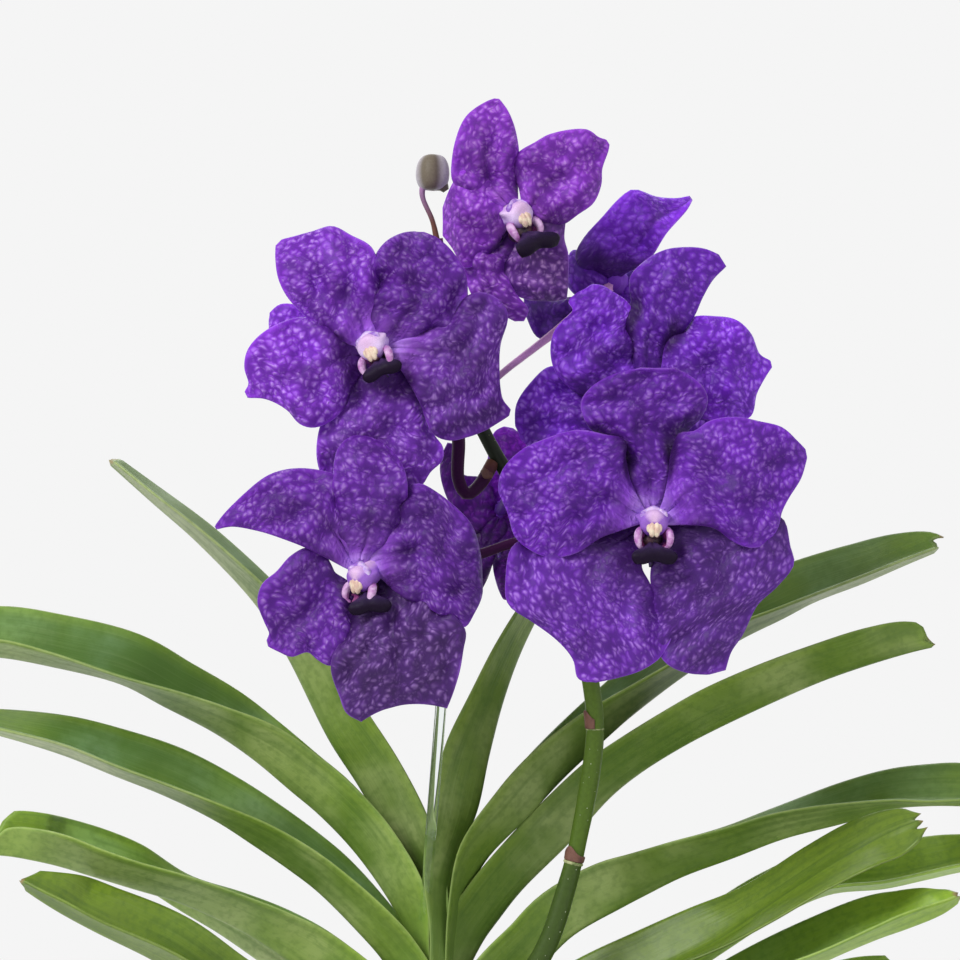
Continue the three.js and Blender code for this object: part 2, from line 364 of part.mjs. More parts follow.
// A closed sheet from two grids of points, one for each face, joined round their rims.
function sheet(front, back) {
  const columns = front[0].length;
  const lastRow = front.length - 1;
  const lastColumn = columns - 1;
  const points = [...front.flat(), ...back.flat()];
  const f = (row, column) => row * columns + column;
  const b = (row, column) => front.length * columns + f(row, column);
  const triangles = [];
  const quad = (p, q, r, s) => triangles.push(p, q, r, p, r, s);
  for (let row = 0; row < lastRow; row += 1) {
    for (let column = 0; column < lastColumn; column += 1) {
      quad(f(row, column), f(row, column + 1), f(row + 1, column + 1), f(row + 1, column));
      quad(b(row, column), b(row + 1, column), b(row + 1, column + 1), b(row, column + 1));
    }
    quad(f(row, 0), f(row + 1, 0), b(row + 1, 0), b(row, 0));
    quad(f(row + 1, lastColumn), f(row, lastColumn), b(row, lastColumn), b(row + 1, lastColumn));
  }
  for (let column = 0; column < lastColumn; column += 1) {
    quad(f(0, column + 1), f(0, column), b(0, column), b(0, column + 1));
    quad(f(lastRow, column), f(lastRow, column + 1), b(lastRow, column + 1), b(lastRow, column));
  }
  const geometry = new THREE.BufferGeometry();
  const numbers = points.flatMap((point) => point.toArray());
  geometry.setAttribute('position', new THREE.Float32BufferAttribute(numbers, 3));
  geometry.setIndex(triangles);
  return solidOf(geometry);
}

function tube(path, radius, sides, steps) {
  const ring = new THREE.Path().absarc(0, 0, radius, 0, 2 * Math.PI);
  const circle = new THREE.Shape(ring.getPoints(sides / 2));
  const extrudePath = new THREE.CatmullRomCurve3(path.map(vector), false, 'centripetal');
  return solidOf(new THREE.ExtrudeGeometry(circle, { steps, extrudePath }));
}

// A solid turned round the Z axis from a profile of [radius, height].
function latheOf(profile, sides) {
  const points = profile.map(([radius, height]) => new THREE.Vector2(radius, height));
  return new THREE.LatheGeometry(points, sides).rotateX(Math.PI / 2);
}

function ellipsoid(centre, radius, height) {
  const geometry = new THREE.SphereGeometry(radius, BALL.sides, BALL.rings).rotateX(Math.PI / 2);
  return solidOf(geometry.scale(1, 1, height / radius).translate(...centre));
}

// Pushes the border of a grid of points outwards by the given distance, in the sheet's own surface.
function widen(grid, distance) {
  const push = (point, inner) => point.clone().add(point.clone().sub(inner).setLength(distance));
  const last = grid[0].length - 1;
  const wide = grid.map((row) => row.map((point, column) => {
    if (column === 0) return push(point, row[1]);
    if (column === last) return push(point, row[last - 1]);
    return point.clone();
  }));
  const first = wide[0].map((point, column) => push(point, wide[1][column]));
  const end = wide.at(-1).map((point, column) => push(point, wide.at(-2)[column]));
  return [first, ...wide.slice(1, -1), end];
}

// ---- Sub-parts; grow makes the copy that later pieces keep clear of ----
function tepal(shape, centre, grow, rows = TEPAL.rows, columns = TEPAL.columns) {
  const towardsCentre = ([x, z]) => [x * TEPAL.baseReach, z * TEPAL.baseReach];
  const edge = (points) => new THREE.CatmullRomCurve3(
    [towardsCentre(points[0]), ...points].map(([x, z]) => new THREE.Vector3(x, 0, z)), false, 'centripetal',
  ).getSpacedPoints(rows);
  const left = edge(shape.left);
  const right = edge(shape.right);
  const [base, middle, tip] = shape.depth;
  const outwards = left.at(-1).clone().add(right.at(-1)).sub(left.at(-2)).sub(right.at(-2)).normalize();
  const grid = left.map((leftPoint, row) => {
    const s = row / rows;
    const depth = base * (1 - s) * (1 - 2 * s) + middle * 4 * s * (1 - s) + tip * s * (2 * s - 1);
    return Array.from({ length: columns + 1 }, (_, column) => {
      const u = (2 * column) / columns - 1;
      const point = leftPoint.clone().lerp(right[row], (u + 1) / 2);
      point.addScaledVector(outwards, (shape.tipBulge ?? 0) * (1 - u * u) * s ** 4);
      point.y = depth - shape.cup * (1 - u * u) * Math.sin(Math.PI * s);
      return point.add(vector(centre));
    });
  });
  const face = grow > 0 ? widen(grid, grow) : grid;
  const half = TEPAL.thickness / 2 + grow;
  const shifted = (y) => face.map((row) => row.map((point) => point.clone().setY(point.y + y)));
  return sheet(shifted(-half), shifted(half));
}

// The column points forward from its flower's centre, and its pedicel joins it from behind.
function column(flower, grow) {
  const { foot, neck, throat, radius, swelling, tip, length, sides } = COLUMN;
  const [x, y, z] = flower.centre;
  const pedicel = tube([...flower.pedicel, [x, y + foot, z]], PEDICEL.radius + grow, PEDICEL.sides,
    PEDICEL.steps);
  const rod = latheOf([[0, -foot - grow], [neck + grow, -foot - grow], [neck + grow, throat],
    [radius + grow, swelling], [tip + grow, length + grow], [0, length + grow]], sides);
  return pedicel.add(solidOf(rod.rotateX(Math.PI / 2).translate(x, y, z)));
}

// The lip is a short tongue below the column, swollen in its middle.
function lip(flower, grow) {
  const [x, y, z] = flower.centre;
  const grid = Array.from({ length: LIP.rows + 1 }, (_, row) => {
    const s = row / LIP.rows;
    const halfWidth = LIP.halfWidth + LIP.swell * Math.sin(Math.PI * s);
    return [-1, 0, 1].map((u) => new THREE.Vector3(
      x + u * halfWidth,
      y - COLUMN.throat - LIP.reach * s - (1 - u * u),
      z - LIP.top - LIP.drop * s,
    ));
  });
  const half = LIP.thickness / 2 + grow;
  const face = grow > 0 ? widen(grid, grow) : grid;
  const shifted = (d) => face.map((row) => row.map((point) => point.clone().setY(point.y + d)));
  return sheet(shifted(-half), shifted(half));
}

function rearFlower(flower, grow) {
  const tepals = flower.tepals.map((shape) => tepal(shape, flower.centre, grow, HUB.rows, HUB.columns));
  const hub = ellipsoid(flower.centre, HUB.radius + grow, HUB.radius + grow);
  const pedicel = tube([...flower.pedicel, flower.centre], PEDICEL.radius + grow, PEDICEL.sides,
    PEDICEL.steps);
  return tepals.reduce((whole, piece) => whole.add(piece), hub.add(pedicel));
}

// A leaf is a V folded along its keel. Its front and back halves are as wide as the leaf allows, so
// what they don't rise beside the keel they stand before and behind it.
function leaf(shape, grow) {
  const keel = shape.stations.map(([x, z, , , depth]) => new THREE.Vector3(x, depth, z));
  const distance = keel.map(() => 0);
  keel.forEach((point, i) => {
    distance[i] = i === 0 ? 0 : distance[i - 1] + point.distanceTo(keel[i - 1]);
  });
  const outer = [];
  const inner = [];
  shape.stations.forEach(([, , front, back], i) => {
    const ahead = keel[Math.min(i + 1, keel.length - 1)];
    const behind = keel[Math.max(i - 1, 0)];
    const run = ahead.clone().sub(behind).setY(0).normalize();
    const up = new THREE.Vector3(-run.z, 0, run.x).multiplyScalar(shape.side);
    const toTip = distance.at(-1) - distance[i];
    const halfWidth = Math.min(LEAF.halfWidth, LEAF.tipHalfWidth + LEAF.tipTaper * toTip);
    const sheath = LEAF.sheath + LEAF.flare * distance[i];
    const spread = (height) => Math.min(
      sheath, Math.sqrt(Math.max(halfWidth ** 2 - height ** 2, LEAF.leastSpread ** 2)),
    );
    const half = (height, sign) => new THREE.Vector2(height, sign * spread(height));
    const place = ({ x, y }) => keel[i].clone().addScaledVector(up, x).setY(keel[i].y + y);
    const frontHalf = half(front, -1);
    const backHalf = half(back, 1);
    const frontNormal = new THREE.Vector2(-frontHalf.y, frontHalf.x).normalize();
    const backNormal = new THREE.Vector2(backHalf.y, -backHalf.x).normalize();
    const bisector = frontNormal.clone().add(backNormal).normalize();
    const deepen = Math.min(1 / bisector.dot(frontNormal), LEAF.sharpestFold);
    const longer = (edge) => edge.clone().setLength(edge.length() + grow);
    const offset = (edge, normal, d) => edge.clone().addScaledVector(normal, d);
    const centre = new THREE.Vector2();
    const section = (d) => [offset(longer(frontHalf), frontNormal, d),
      offset(centre, bisector, d * deepen), offset(longer(backHalf), backNormal, d)].map(place);
    outer.push(section(-grow));
    inner.push(section(LEAF.thickness + grow));
  });
  return sheet(outer, inner);
}

function peduncle(grow) {
  const { radius, rachisRadius, sides, steps } = PEDUNCLE;
  const stalk = tube(PEDUNCLE_PATH, radius + grow, sides, steps);
  return stalk.add(tube(RACHIS_PATH, rachisRadius + grow, sides, steps));
}

function bud(grow) {
  const body = ellipsoid(BUD_CENTRE, BUD.radius + grow, BUD.height + grow);
  return body.add(tube(BUD_PATH, BUD.stalk + grow, PEDICEL.sides, PEDICEL.steps));
}

function stem(grow) {
  const { bottom, shoulder, waist, leafless, fan, top, radius, neck, core, sides } = STEM;
  return solidOf(latheOf([[0, bottom - grow], [neck + grow, bottom - grow], [radius + grow, shoulder],
    [radius + grow, waist], [neck + grow, leafless], [core + grow, fan],
    [core + grow, top + grow], [0, top + grow]], sides));
}

function vase(grow) {
  const { height, radius, wall, floor, bevel, corner, sides } = VASE;
  const inside = radius - wall;
  return solidOf(latheOf([[0, -grow], [radius - bevel + grow, -grow], [radius + grow, bevel],
    [radius + grow, height - bevel], [radius - bevel, height + grow], [inside + bevel, height + grow],
    [inside - grow, height - bevel], [inside - grow, floor + corner], [inside - corner, floor + grow],
    [0, floor + grow]], sides));
}

// ---- Assembly: each piece is cut clear of those placed before it ----
const orchid = new THREE.Group();
const placed = [];

function boxesMeet(a, b) {
  return [0, 1, 2].every((axis) => a.min[axis] <= b.max[axis] && b.min[axis] <= a.max[axis]);
}

function place(name, finish, make) {
  let body = make(0);
  for (const other of placed) {
    if (boxesMeet(body.boundingBox(), other.boundingBox())) {
      body = body.subtract(other);
    }
  }
  const [largest] = body.simplify(FINEST).decompose().sort((a, b) => b.volume() - a.volume());
  placed.push(make(GAP));
  const material = new THREE.MeshStandardMaterial({
    color: COLOR[finish], roughness: ROUGHNESS[finish], metalness: 0,
  });
  const mesh = new THREE.Mesh(geometryOf(largest), material);
  mesh.name = name;
  orchid.add(mesh);
}

place('vase', 'glass', vase);
place('stem', 'stem', stem);
place('peduncle', 'peduncle', peduncle);
ROOT_PATHS.forEach((path, i) => {
  place(`root_${i + 1}`, 'root', (grow) => tube(path, ROOT.radius + grow, ROOT.sides, ROOT.steps));
});
LEAVES.forEach((shape) => place(shape.name, 'leaf', (grow) => leaf(shape, grow)));
for (const flower of FLOWERS) {
  place(`${flower.name}_column`, 'column', (grow) => column(flower, grow));
  place(`${flower.name}_lip`, 'lip', (grow) => lip(flower, grow));
  for (const shape of flower.tepals) {
    place(`${flower.name}_${shape.name}`, 'tepal', (grow) => tepal(shape, flower.centre, grow));
  }
}
REAR_FLOWERS.forEach((flower) => place(flower.name, 'tepal', (grow) => rearFlower(flower, grow)));
place('bud', 'bud', bud);

export default orchid;
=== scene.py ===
"""A vanda orchid in bloom, bare-rooted in a plain straight glass vase.

The packed solids are the frame: every piece made here stands for one of them, or sits on one, and
stays where it is. Outlines are in millimetres and every mesh is in metres, with +Z up; the flowers
face -Y.
"""

import math
from collections import namedtuple

import bpy
import numpy as np
from bpy.props import FloatProperty, FloatVectorProperty, IntProperty, PointerProperty
from mathutils import Euler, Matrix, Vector
from numpy.linalg import norm


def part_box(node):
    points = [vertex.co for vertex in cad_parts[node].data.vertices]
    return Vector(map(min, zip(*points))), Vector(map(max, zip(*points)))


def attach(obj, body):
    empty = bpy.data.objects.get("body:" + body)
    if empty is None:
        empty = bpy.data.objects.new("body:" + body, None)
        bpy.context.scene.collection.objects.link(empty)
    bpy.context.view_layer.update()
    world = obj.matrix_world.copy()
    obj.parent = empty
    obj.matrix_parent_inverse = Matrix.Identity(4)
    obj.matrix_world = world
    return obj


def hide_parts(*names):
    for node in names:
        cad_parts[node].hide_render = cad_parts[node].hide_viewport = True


bl_info = {
    "name": "Vanda orchid in a glass vase",
    "version": (1, 0, 0),
    "blender": (4, 5, 0),
    "location": "3D View > Sidebar > Orchid",
    "description": "Builds a vanda orchid with its flowers, leaves and roots in a glass vase",
    "category": "Add Mesh",
}

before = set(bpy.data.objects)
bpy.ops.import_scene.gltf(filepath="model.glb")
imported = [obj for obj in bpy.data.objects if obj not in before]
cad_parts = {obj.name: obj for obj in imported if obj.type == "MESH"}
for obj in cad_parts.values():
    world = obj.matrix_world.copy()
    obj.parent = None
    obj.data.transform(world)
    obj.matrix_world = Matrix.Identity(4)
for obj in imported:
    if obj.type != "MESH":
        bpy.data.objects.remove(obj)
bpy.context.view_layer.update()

MM = 0.001
BODY = "root"

# ---- Outlines, in millimetres ----
# Each flower's centre, and its own stalk's path from the flower stalk towards that centre. width is
# how thick that stalk is, as a share. The rear flowers face away.
FLOWERS = {
    "flower_1": dict(centre=(-25, -72, 421), width=1.3, stalk=[(36, -33, 432), (27, -36, 432),
        (14, -42, 428), (-8, -60, 424)]),
    "flower_2": dict(centre=(72.5, -80, 439.5), stalk=[(44.5, -34, 410), (52, -44, 414), (63, -58, 428)]),
    "flower_3": dict(centre=(-21, -62, 497), width=1.55, stalk=[(19, -31, 459), (14, -35, 451),
        (10, -37.5, 448.5), (7.3, -39, 453.5), (7.3, -40.5, 467), (5, -45, 480), (-7, -54, 491)]),
    "flower_4": dict(centre=(71.5, -48, 484.5), stalk=[(26.5, -32, 451), (44, -35, 462), (60, -39, 476)]),
    "flower_5": dict(centre=(27, -34, 541.5), stalk=[(3.5, -25, 518), (13, -26, 528), (20, -28, 536)]),
    "rear_flower_1": dict(centre=(61, 8, 520.5), width=0.85, stalk=[(13, -30, 480), (20.5, -24, 488),
        (39.5, -10, 503), (55, 2, 516)]),
    "rear_flower_2": dict(centre=(21.5, 26, 443), stalk=[(27, -32, 449), (24, -12, 447), (22, 8, 444)]),
    "rear_flower_3": dict(centre=(-34.5, -6, 496.5), stalk=[(7, -27, 498), (-8, -18, 498), (-24, -10, 497)]),
}

# How a tepal's surface moves, in millimetres: ruffled margins, broad swells, a groove down its
# middle and margins that bend back. tone makes it lighter or darker, dusk adds painted shade in a
# greyer, duller violet, and the furrow setting paints shade into furrows along the sides of its
# narrow base. heart is how pale and streaked its base is, spotted how strong its spots are, and flap
# how far its right side folds forward, as a share, with painted shade along that fold and a painted
# highlight beyond it.
PLAIN_FORM = dict(ruffle=1.3, ruffles=2.2, swell=0.75, groove=0.8, reflex=1.4, tone=0.0, dusk=0.0,
                  furrow_shade=0.0, heart=1.0, spotted=1.0, flap=0.0)

# A tepal has two edges from its base to its tip, as (x, z) from its flower's centre. depth is how
# far its base, middle and tip lie behind that centre, cup is how far its middle stands forward of
# its edges, tuck how far its left and right margins reach under their neighbours, form what differs
# from the plain form, and tip_bulge how far the tip's middle stands out past its corners.
Tepal = namedtuple("Tepal", "depth cup tuck form left right tip_bulge", defaults=[0])
TEPALS = {}


def tepal(name, *shape):
    """Adds a tepal to the others."""
    TEPALS[name] = Tepal(*shape)


tepal("flower_1_petal_left", (0, -4, 6), 2, (0, 3), dict(tone=0.04),
    [(-6, 2.5), (-12.5, 6), (-18.5, 9), (-26, 12), (-35.5, 15), (-44, 16.5), (-49.5, 15.5)],
    [(-3, 6.5), (-6, 16), (-8.5, 25.5), (-10, 33), (-16, 35.5), (-23.5, 36), (-31.5, 34), (-39.5, 28),
     (-46.5, 21), (-50, 16.5)])
tepal("flower_1_sepal_dorsal", (0, -5, 2), 3, (2, 2), dict(dusk=0.1),
    [(-3, 6), (-7, 16), (-10, 25), (-10, 34.5), (-8.5, 42.5), (-4.5, 46.5), (-1.5, 47)],
    [(1.5, 6.5), (8.5, 12), (13, 18.5), (15, 26.5), (14.5, 34.5), (11, 41), (6, 45), (0.5, 47)])
tepal("flower_1_petal_right", (0, -5, 4), 3, (6, 2), dict(dusk=0.15),
    [(2.5, 6), (7, 10), (12, 18.5), (15.5, 28.5), (19.5, 30.5), (25, 28), (31.5, 23), (36.5, 17.5), (39, 10),
     (40, 3)],
    [(5, 0.5), (12.5, -5), (22, -10.5), (30.5, -16), (34.5, -17.5), (37.5, -13), (40, -7.5), (40, -1)])
tepal("flower_1_sepal_left", (2, -1, 6), -2, (3, 0), dict(dusk=0.05),
    [(-1.5, -12.5), (-3.5, -17), (-2.5, -23), (-5.5, -28), (-11, -30.5), (-14.5, -29), (-18.5, -26),
     (-24, -27.5), (-28, -26), (-32, -24)],
    [(-3, -3), (-6.5, -0.8), (-9.8, 1.5), (-13, 7.2), (-18.5, 9.5), (-24.5, 6.5), (-29, 1.5), (-34, -3),
     (-35.5, -9), (-33.5, -14.5), (-31.5, -19), (-32.5, -22)])
tepal("flower_1_sepal_right", (3, -3, 5), 3, (4, 10), dict(dusk=0.6, tone=-0.08, spotted=1.2),
    [(-0.5, -10.5), (-4.5, -19.5), (-10, -27.5), (-10.5, -33), (-8, -40.5), (-5.5, -46.5), (-0.5, -49.5)],
    [(5, -3), (15, -6), (27, -12), (34.5, -18.5), (34, -25), (33, -31.5), (31, -38.5), (28.5, -45)], -3.5)
tepal("flower_2_petal_left", (0, -5, 5), 3, (0, 4), {},
    [(-5, -1.5), (-11, -3.5), (-17.5, -6), (-25.5, -11), (-33.5, -12.5), (-40, -10.5), (-46, -5.5),
     (-48.5, 2.5), (-51.5, 9.5)],
    [(-3.5, 3.5), (-7.5, 9.5), (-10, 17.5), (-10, 25), (-15.5, 28), (-24.5, 30.5), (-35, 28), (-45, 23),
     (-50.5, 16.5), (-51.5, 12)])
tepal("flower_2_petal_right", (0, -5, 6), 3, (4, 0), dict(tone=0.03),
    [(3.5, 3.5), (7, 11), (8.5, 20.5), (10, 28), (14.5, 29.5), (19.5, 33.5), (28, 35), (36.5, 33.5),
     (44, 31.5), (49, 27), (52, 24)],
    [(5, -1.5), (10, -1.5), (21, -2.5), (29, -8), (36, -9), (42, -3.5), (44, 3), (46.5, 8), (50.5, 14.5),
     (52.5, 21.5)])
tepal("flower_2_sepal_dorsal", (1, 2, -4), 2, (5, 5), dict(tone=-0.18, furrow_shade=1.0),
    [(-2.5, 4), (-7, 12), (-9, 22), (-14.5, 28), (-21, 31.5), (-24, 39.5), (-21, 44.5), (-13.5, 49),
     (-4, 51.5)],
    [(2.5, 4), (6, 12), (8, 22), (11.5, 29.5), (16.5, 34.5), (19, 40.5), (17.5, 45), (13.5, 48.5),
     (8, 51.5)])
tepal("flower_2_sepal_left", (3, 0, 4), 3, (6, 0), dict(tone=0.2, dusk=0.25),
    [(-6, -2.5), (-17.5, -5.5), (-30.5, -6), (-41, -7), (-46.5, -10), (-49, -19), (-48.5, -28), (-41, -33.5),
     (-31, -41), (-26.5, -47), (-25, -53), (-22, -54.5)],
    [(-1.5, -7), (-3.3, -15.5), (-0.4, -21.5), (3, -31.5), (7, -37.5), (3.5, -45.5), (-3.5, -50.5),
     (-11.5, -53), (-19, -54.5)])
tepal("flower_2_sepal_right", (3, 1, 5), 3, (0, 6), dict(tone=0.02, dusk=0.4),
    [(1, -7.5), (-0.5, -18.5), (0, -25), (0.5, -32), (1, -38.5), (2.5, -45), (6, -49), (12.5, -51.5),
     (19.5, -52)],
    [(5.5, -1), (17, 0.5), (31.5, 0.5), (43, -0.5), (46.5, -9), (48, -14.5), (43, -21.5), (36, -28),
     (31, -38), (27, -44), (25, -50.5)])
tepal("flower_3_petal_left", (0, -4, 5), 2, (3, 3), dict(tone=0.24),
    [(-3.5, 1), (-9.5, 5.5), (-16.5, 8.5), (-23.5, 12), (-29.5, 18), (-32.5, 24), (-33.5, 30.5),
     (-33.5, 35.5)],
    [(-0.5, 3), (0.5, 12), (1, 23), (-1, 34.5), (-8, 39), (-14.5, 42), (-21.5, 40), (-31.5, 37.5)])
tepal("flower_3_sepal_dorsal", (1, -3, 3), 3, (2, 2), dict(tone=-0.2),
    [(0.5, 3), (-0.5, 11), (-1.5, 20.5), (-0.5, 30.5), (3.5, 36.5), (9, 39.5), (14, 40)],
    [(7, 2.5), (17, 6), (26, 9), (30.5, 12), (31.5, 19), (30.5, 26.5), (27, 32.5), (22.5, 37), (16.5, 40)])
tepal("flower_3_petal_right", (0, -5, 3), 3, (5, 0), dict(dusk=0.3),
    [(7, 1.5), (16.5, 5), (25.5, 10), (31, 17), (37, 19), (42.5, 16.5), (45, 12), (42.5, 3), (42, -5.5),
     (43, -16), (46, -20)],
    [(6, -3), (11, -10), (15.5, -18.5), (19.5, -28), (25, -30.5), (31, -29.5), (37.5, -27), (42.5, -24),
     (45.5, -22)])
tepal("flower_3_sepal_left", (2, -2, 5), 3, (3, 3), dict(tone=0.45),
    [(-3.5, -4.5), (-8, -10), (-11, -18), (-15, -23.5), (-20.5, -26), (-25, -25), (-29, -20.5),
     (-36.5, -16.5), (-43, -16)],
    [(-4.5, -0.5), (-9, 5), (-16, 8), (-25.5, 10.5), (-32.5, 9), (-39, 5), (-43, 0), (-44, -5.5),
     (-42.5, -11), (-44, -14)])
tepal("flower_3_sepal_right", (3, 2, 5), 3, (6, 6), dict(tone=0.42, dusk=0.2),
    [(-1.5, -6.5), (-8, -12.5), (-13.5, -20), (-18.5, -28), (-19.5, -37), (-16.5, -44.5), (-8.5, -48),
     (-1, -48.5)],
    [(4.5, -6), (10.5, -11.5), (15.5, -18.5), (19.5, -28), (23, -32.5), (23, -37), (19, -41), (15.5, -46),
     (8, -48.5)])
tepal("flower_4_sepal_dorsal", (1, -3, 4), 3, (3, 3), dict(tone=-0.12, heart=0.2, furrow_shade=0.9),
    [(-1.5, 2), (-5, 8), (-6, 14.5), (-7, 22.5), (-5, 28), (-6, 33), (-6, 37.5), (-1, 43), (5.5, 46.5),
     (12, 47.5), (19, 47), (24, 45)],
    [(2.5, 2.5), (5.5, 9.5), (9.5, 16.5), (15.5, 24), (18.5, 30.5), (22, 36.5), (26.5, 41)])
tepal("flower_4_petal_left", (0, -4, 3), 3, (3, 4), dict(tone=0.11, heart=0.2, spotted=0.8),
    [(-5, -1), (-14, -2.5), (-22, -1), (-27, 1.5), (-31.5, 6), (-33, 12.5), (-31.5, 19.5), (-25.5, 26),
     (-27, 29), (-23, 32.5)],
    [(-2.5, 2), (-6, 7), (-6, 12), (-7.5, 19.5), (-5, 25), (-7, 29), (-12, 32.5), (-15.5, 34.5), (-19, 35)])
tepal("flower_4_petal_right", (0, -4, 5), 3, (6, 3), dict(tone=0.38, heart=0.2, spotted=0.85),
    [(2.5, 2), (7, 10), (11, 17), (16, 23), (23, 24), (29.5, 23), (34.5, 18.5), (37.5, 11.5), (41.5, 9)],
    [(4, -1.5), (13.5, -7), (24.5, -11), (34.5, -10), (36.5, -2.5), (40, 4), (42, 7)])
tepal("flower_4_sepal_left", (3, 2, 6), 2, (3, 3), dict(tone=0.3),
    [(-1.5, -5), (-8, -13.5), (-17, -19.5), (-28, -23), (-37.5, -22), (-43, -17.5)],
    [(-3.5, -2), (-12, 0.5), (-19.5, 1.5), (-28, 6), (-33.5, 7), (-39.5, 2), (-44.5, -5.5), (-45, -13)])
tepal("flower_4_sepal_right", (3, 4, 8), 2, (3, 5), {},
    [(0.5, -5), (2.5, -14.5), (6, -24.5), (12, -32.5), (19.5, -35.5), (26, -33.5)],
    [(3.5, -2.5), (12.5, -6), (22, -10), (30, -16.5), (32.5, -24), (30, -30.5)])
tepal("flower_5_sepal_dorsal", (0, -3, 4), 3, (3, 0), dict(tone=0.18, spotted=0.7),
    [(-2.5, 3.5), (-9, 7), (-15.5, 10), (-21, 13.5), (-21.5, 23), (-17.5, 34.5), (-11, 39.5), (-7.5, 41)],
    [(0.5, 5), (0.5, 12), (1, 20.5), (-0.5, 30.5), (-3, 37), (-6, 41)])
tepal("flower_5_petal_left", (0, -4, 6), 3, (3, 3), dict(tone=0.28, spotted=0.7),
    [(-3.5, -2), (-7.5, -7.5), (-13, -14.5), (-17.5, -16.5), (-21.5, -10), (-25, -5.5)],
    [(-3, 2.5), (-7, 9.5), (-12, 15), (-18.5, 16.5), (-22, 11.5), (-25, 4)])
tepal("flower_5_petal_right", (0, -3, 4), 3, (0, 2), dict(tone=0.22, spotted=0.75),
    [(1.5, 4.5), (0.8, 11), (-1.5, 17), (0.5, 22.5), (6, 26), (11.5, 29), (23.5, 30.5), (27.5, 28),
     (30.5, 27)],
    [(4, 2), (9, 0.5), (14.5, -0.5), (20.5, 2), (26, 5.5), (28.5, 11.5), (29, 17), (31, 23), (31.5, 25.5)])
tepal("flower_5_sepal_left", (2, -1, 4), 2, (4, 3), dict(tone=0.38, dusk=0.2, spotted=0.8),
    [(-3.5, -5), (-11, -7.5), (-17, -13), (-17, -20.5), (-14.5, -26.5), (-8, -30.5), (-0.5, -34.5)],
    [(-1, -7), (-3, -11.5), (-4, -15.5), (-2.5, -21), (0.5, -26), (4, -30.5), (2.5, -34.5)])
tepal("flower_5_sepal_right", (2, 1, 4), 2, (6, 4), dict(tone=0.28, dusk=0.6),
    [(1, -7), (-3.5, -11.5), (-6.5, -17), (-4, -23), (3, -27), (13.5, -27.5)],
    [(5, -2.5), (10, 0.5), (14.5, -0.5), (16, -7), (17.5, -11.5), (17.5, -20.5), (17, -27)])
tepal("rear_flower_1_petal_1", (0, -6, 6), 3, (2.5, 2.5), dict(tone=0.4, spotted=0.4, heart=0.0, flap=1.0),
    [(-2.5, 1.5), (-8, 3), (-11.5, 8), (-9.5, 14.5), (-4.5, 22), (1.5, 29), (5.5, 31.5), (13.5, 29),
     (20.5, 28.5), (25, 29.5)],
    [(1.5, 2.5), (8, 7), (13, 11), (17, 16.5), (24, 24.5), (26, 28)])
tepal("rear_flower_1_petal_2", (0, -2, 4), 2, (2.5, 2.5), dict(spotted=0.4),
    [(-2, -1.5), (-5.5, 3.5), (-9.5, 8), (-14.5, 11), (-17, 7)],
    [(-2.5, -4), (-7.5, -6), (-13, -5), (-17, -0.5), (-18, 3.5)])
tepal("rear_flower_1_petal_3", (0, -2, 5), 2, (2.5, 2.5), dict(tone=-0.5, spotted=0.4),
    [(-2, -2.5), (-10.5, -5), (-20.5, -5), (-27, -2.5), (-31.5, -5)],
    [(-1.5, -6), (-7.5, -13.5), (-17, -18.5), (-26.5, -19), (-31.5, -9.5)])
tepal("rear_flower_1_petal_4", (0, 2, 8), 2, (2.5, 2.5), {},
    [(-0.5, -4), (-2.5, -12), (-4, -21), (0, -27)],
    [(2, -3.5), (8, -10), (11.5, -19.5), (8, -27), (4, -28.5)])
tepal("rear_flower_1_petal_5", (0, 2, 8), 2, (2.5, 2.5), {},
    [(1.5, 0.5), (8, 3.5), (16.5, 7), (25, 5.5), (28.5, 0.5)],
    [(2, -2.5), (8, -7.5), (17.5, -10), (26, -7.5), (29, -2.5)])
tepal("rear_flower_2_petal_1", (0, 2, 6), 2, (2.5, 2.5), dict(tone=0.9, spotted=0.2),
    [(-1.5, 2), (-4, 10), (-4, 19.5), (-2, 26.5), (1.5, 28.5)],
    [(2, 2.5), (8, 9.5), (10, 18.5), (8, 24.5), (4, 28)])
tepal("rear_flower_2_petal_2", (0, 2, 7), 2, (2.5, 2.5), dict(spotted=0.4),
    [(-2, -2), (-8, -6), (-13, -4), (-17, 2), (-19.5, 8), (-20.5, 14), (-19.5, 20)],
    [(-2.5, 3.5), (-5, 9), (-9, 11), (-12.5, 12), (-13.5, 16), (-15, 22), (-18, 23)])
tepal("rear_flower_2_petal_3", (0, 2, 6), 2, (2.5, 2.5), dict(tone=-0.3, spotted=0.4),
    [(-1.5, -2.5), (-7, -9), (-9, -17), (-9, -25), (-8, -28)],
    [(1, -3), (-0.5, -12), (-2.8, -18.7), (-4.8, -24), (-6.8, -28)])
tepal("rear_flower_2_petal_4", (0, 2, 8), 2, (2.5, 2.5), dict(spotted=0.4),
    [(0.5, -3), (-1.5, -11), (-2.5, -18.7), (-1, -26), (1, -30.5)],
    [(2.5, 1.5), (11, 1.5), (16, -6), (14, -18), (9, -27), (4, -31.5)])
tepal("rear_flower_2_petal_5", (0, 3, 9), 2, (2.5, 2.5), {},
    [(1.5, 4), (6, 11), (14, 14), (22.5, 11)],
    [(2.5, -1), (10, -2), (19, 0), (25, 5.5)])
tepal("rear_flower_3_petal_1", (0, 2, 8), 2, (2.5, 2.5), dict(tone=0.5),
    [(-2.5, 1.5), (-10, 0), (-18, 2), (-22, 6), (-22.5, 11)],
    [(-0.5, 3.5), (-4, 10), (-11, 15.5), (-18.5, 16.5), (-22.5, 13.5)])
tepal("rear_flower_3_petal_2", (0, 2, 8), 2, (2.5, 2.5), {},
    [(-2, 4), (-5, 11.5), (-5, 20.5), (-0.5, 26)],
    [(2, 4), (7, 11), (7.5, 19.5), (3.5, 25)])
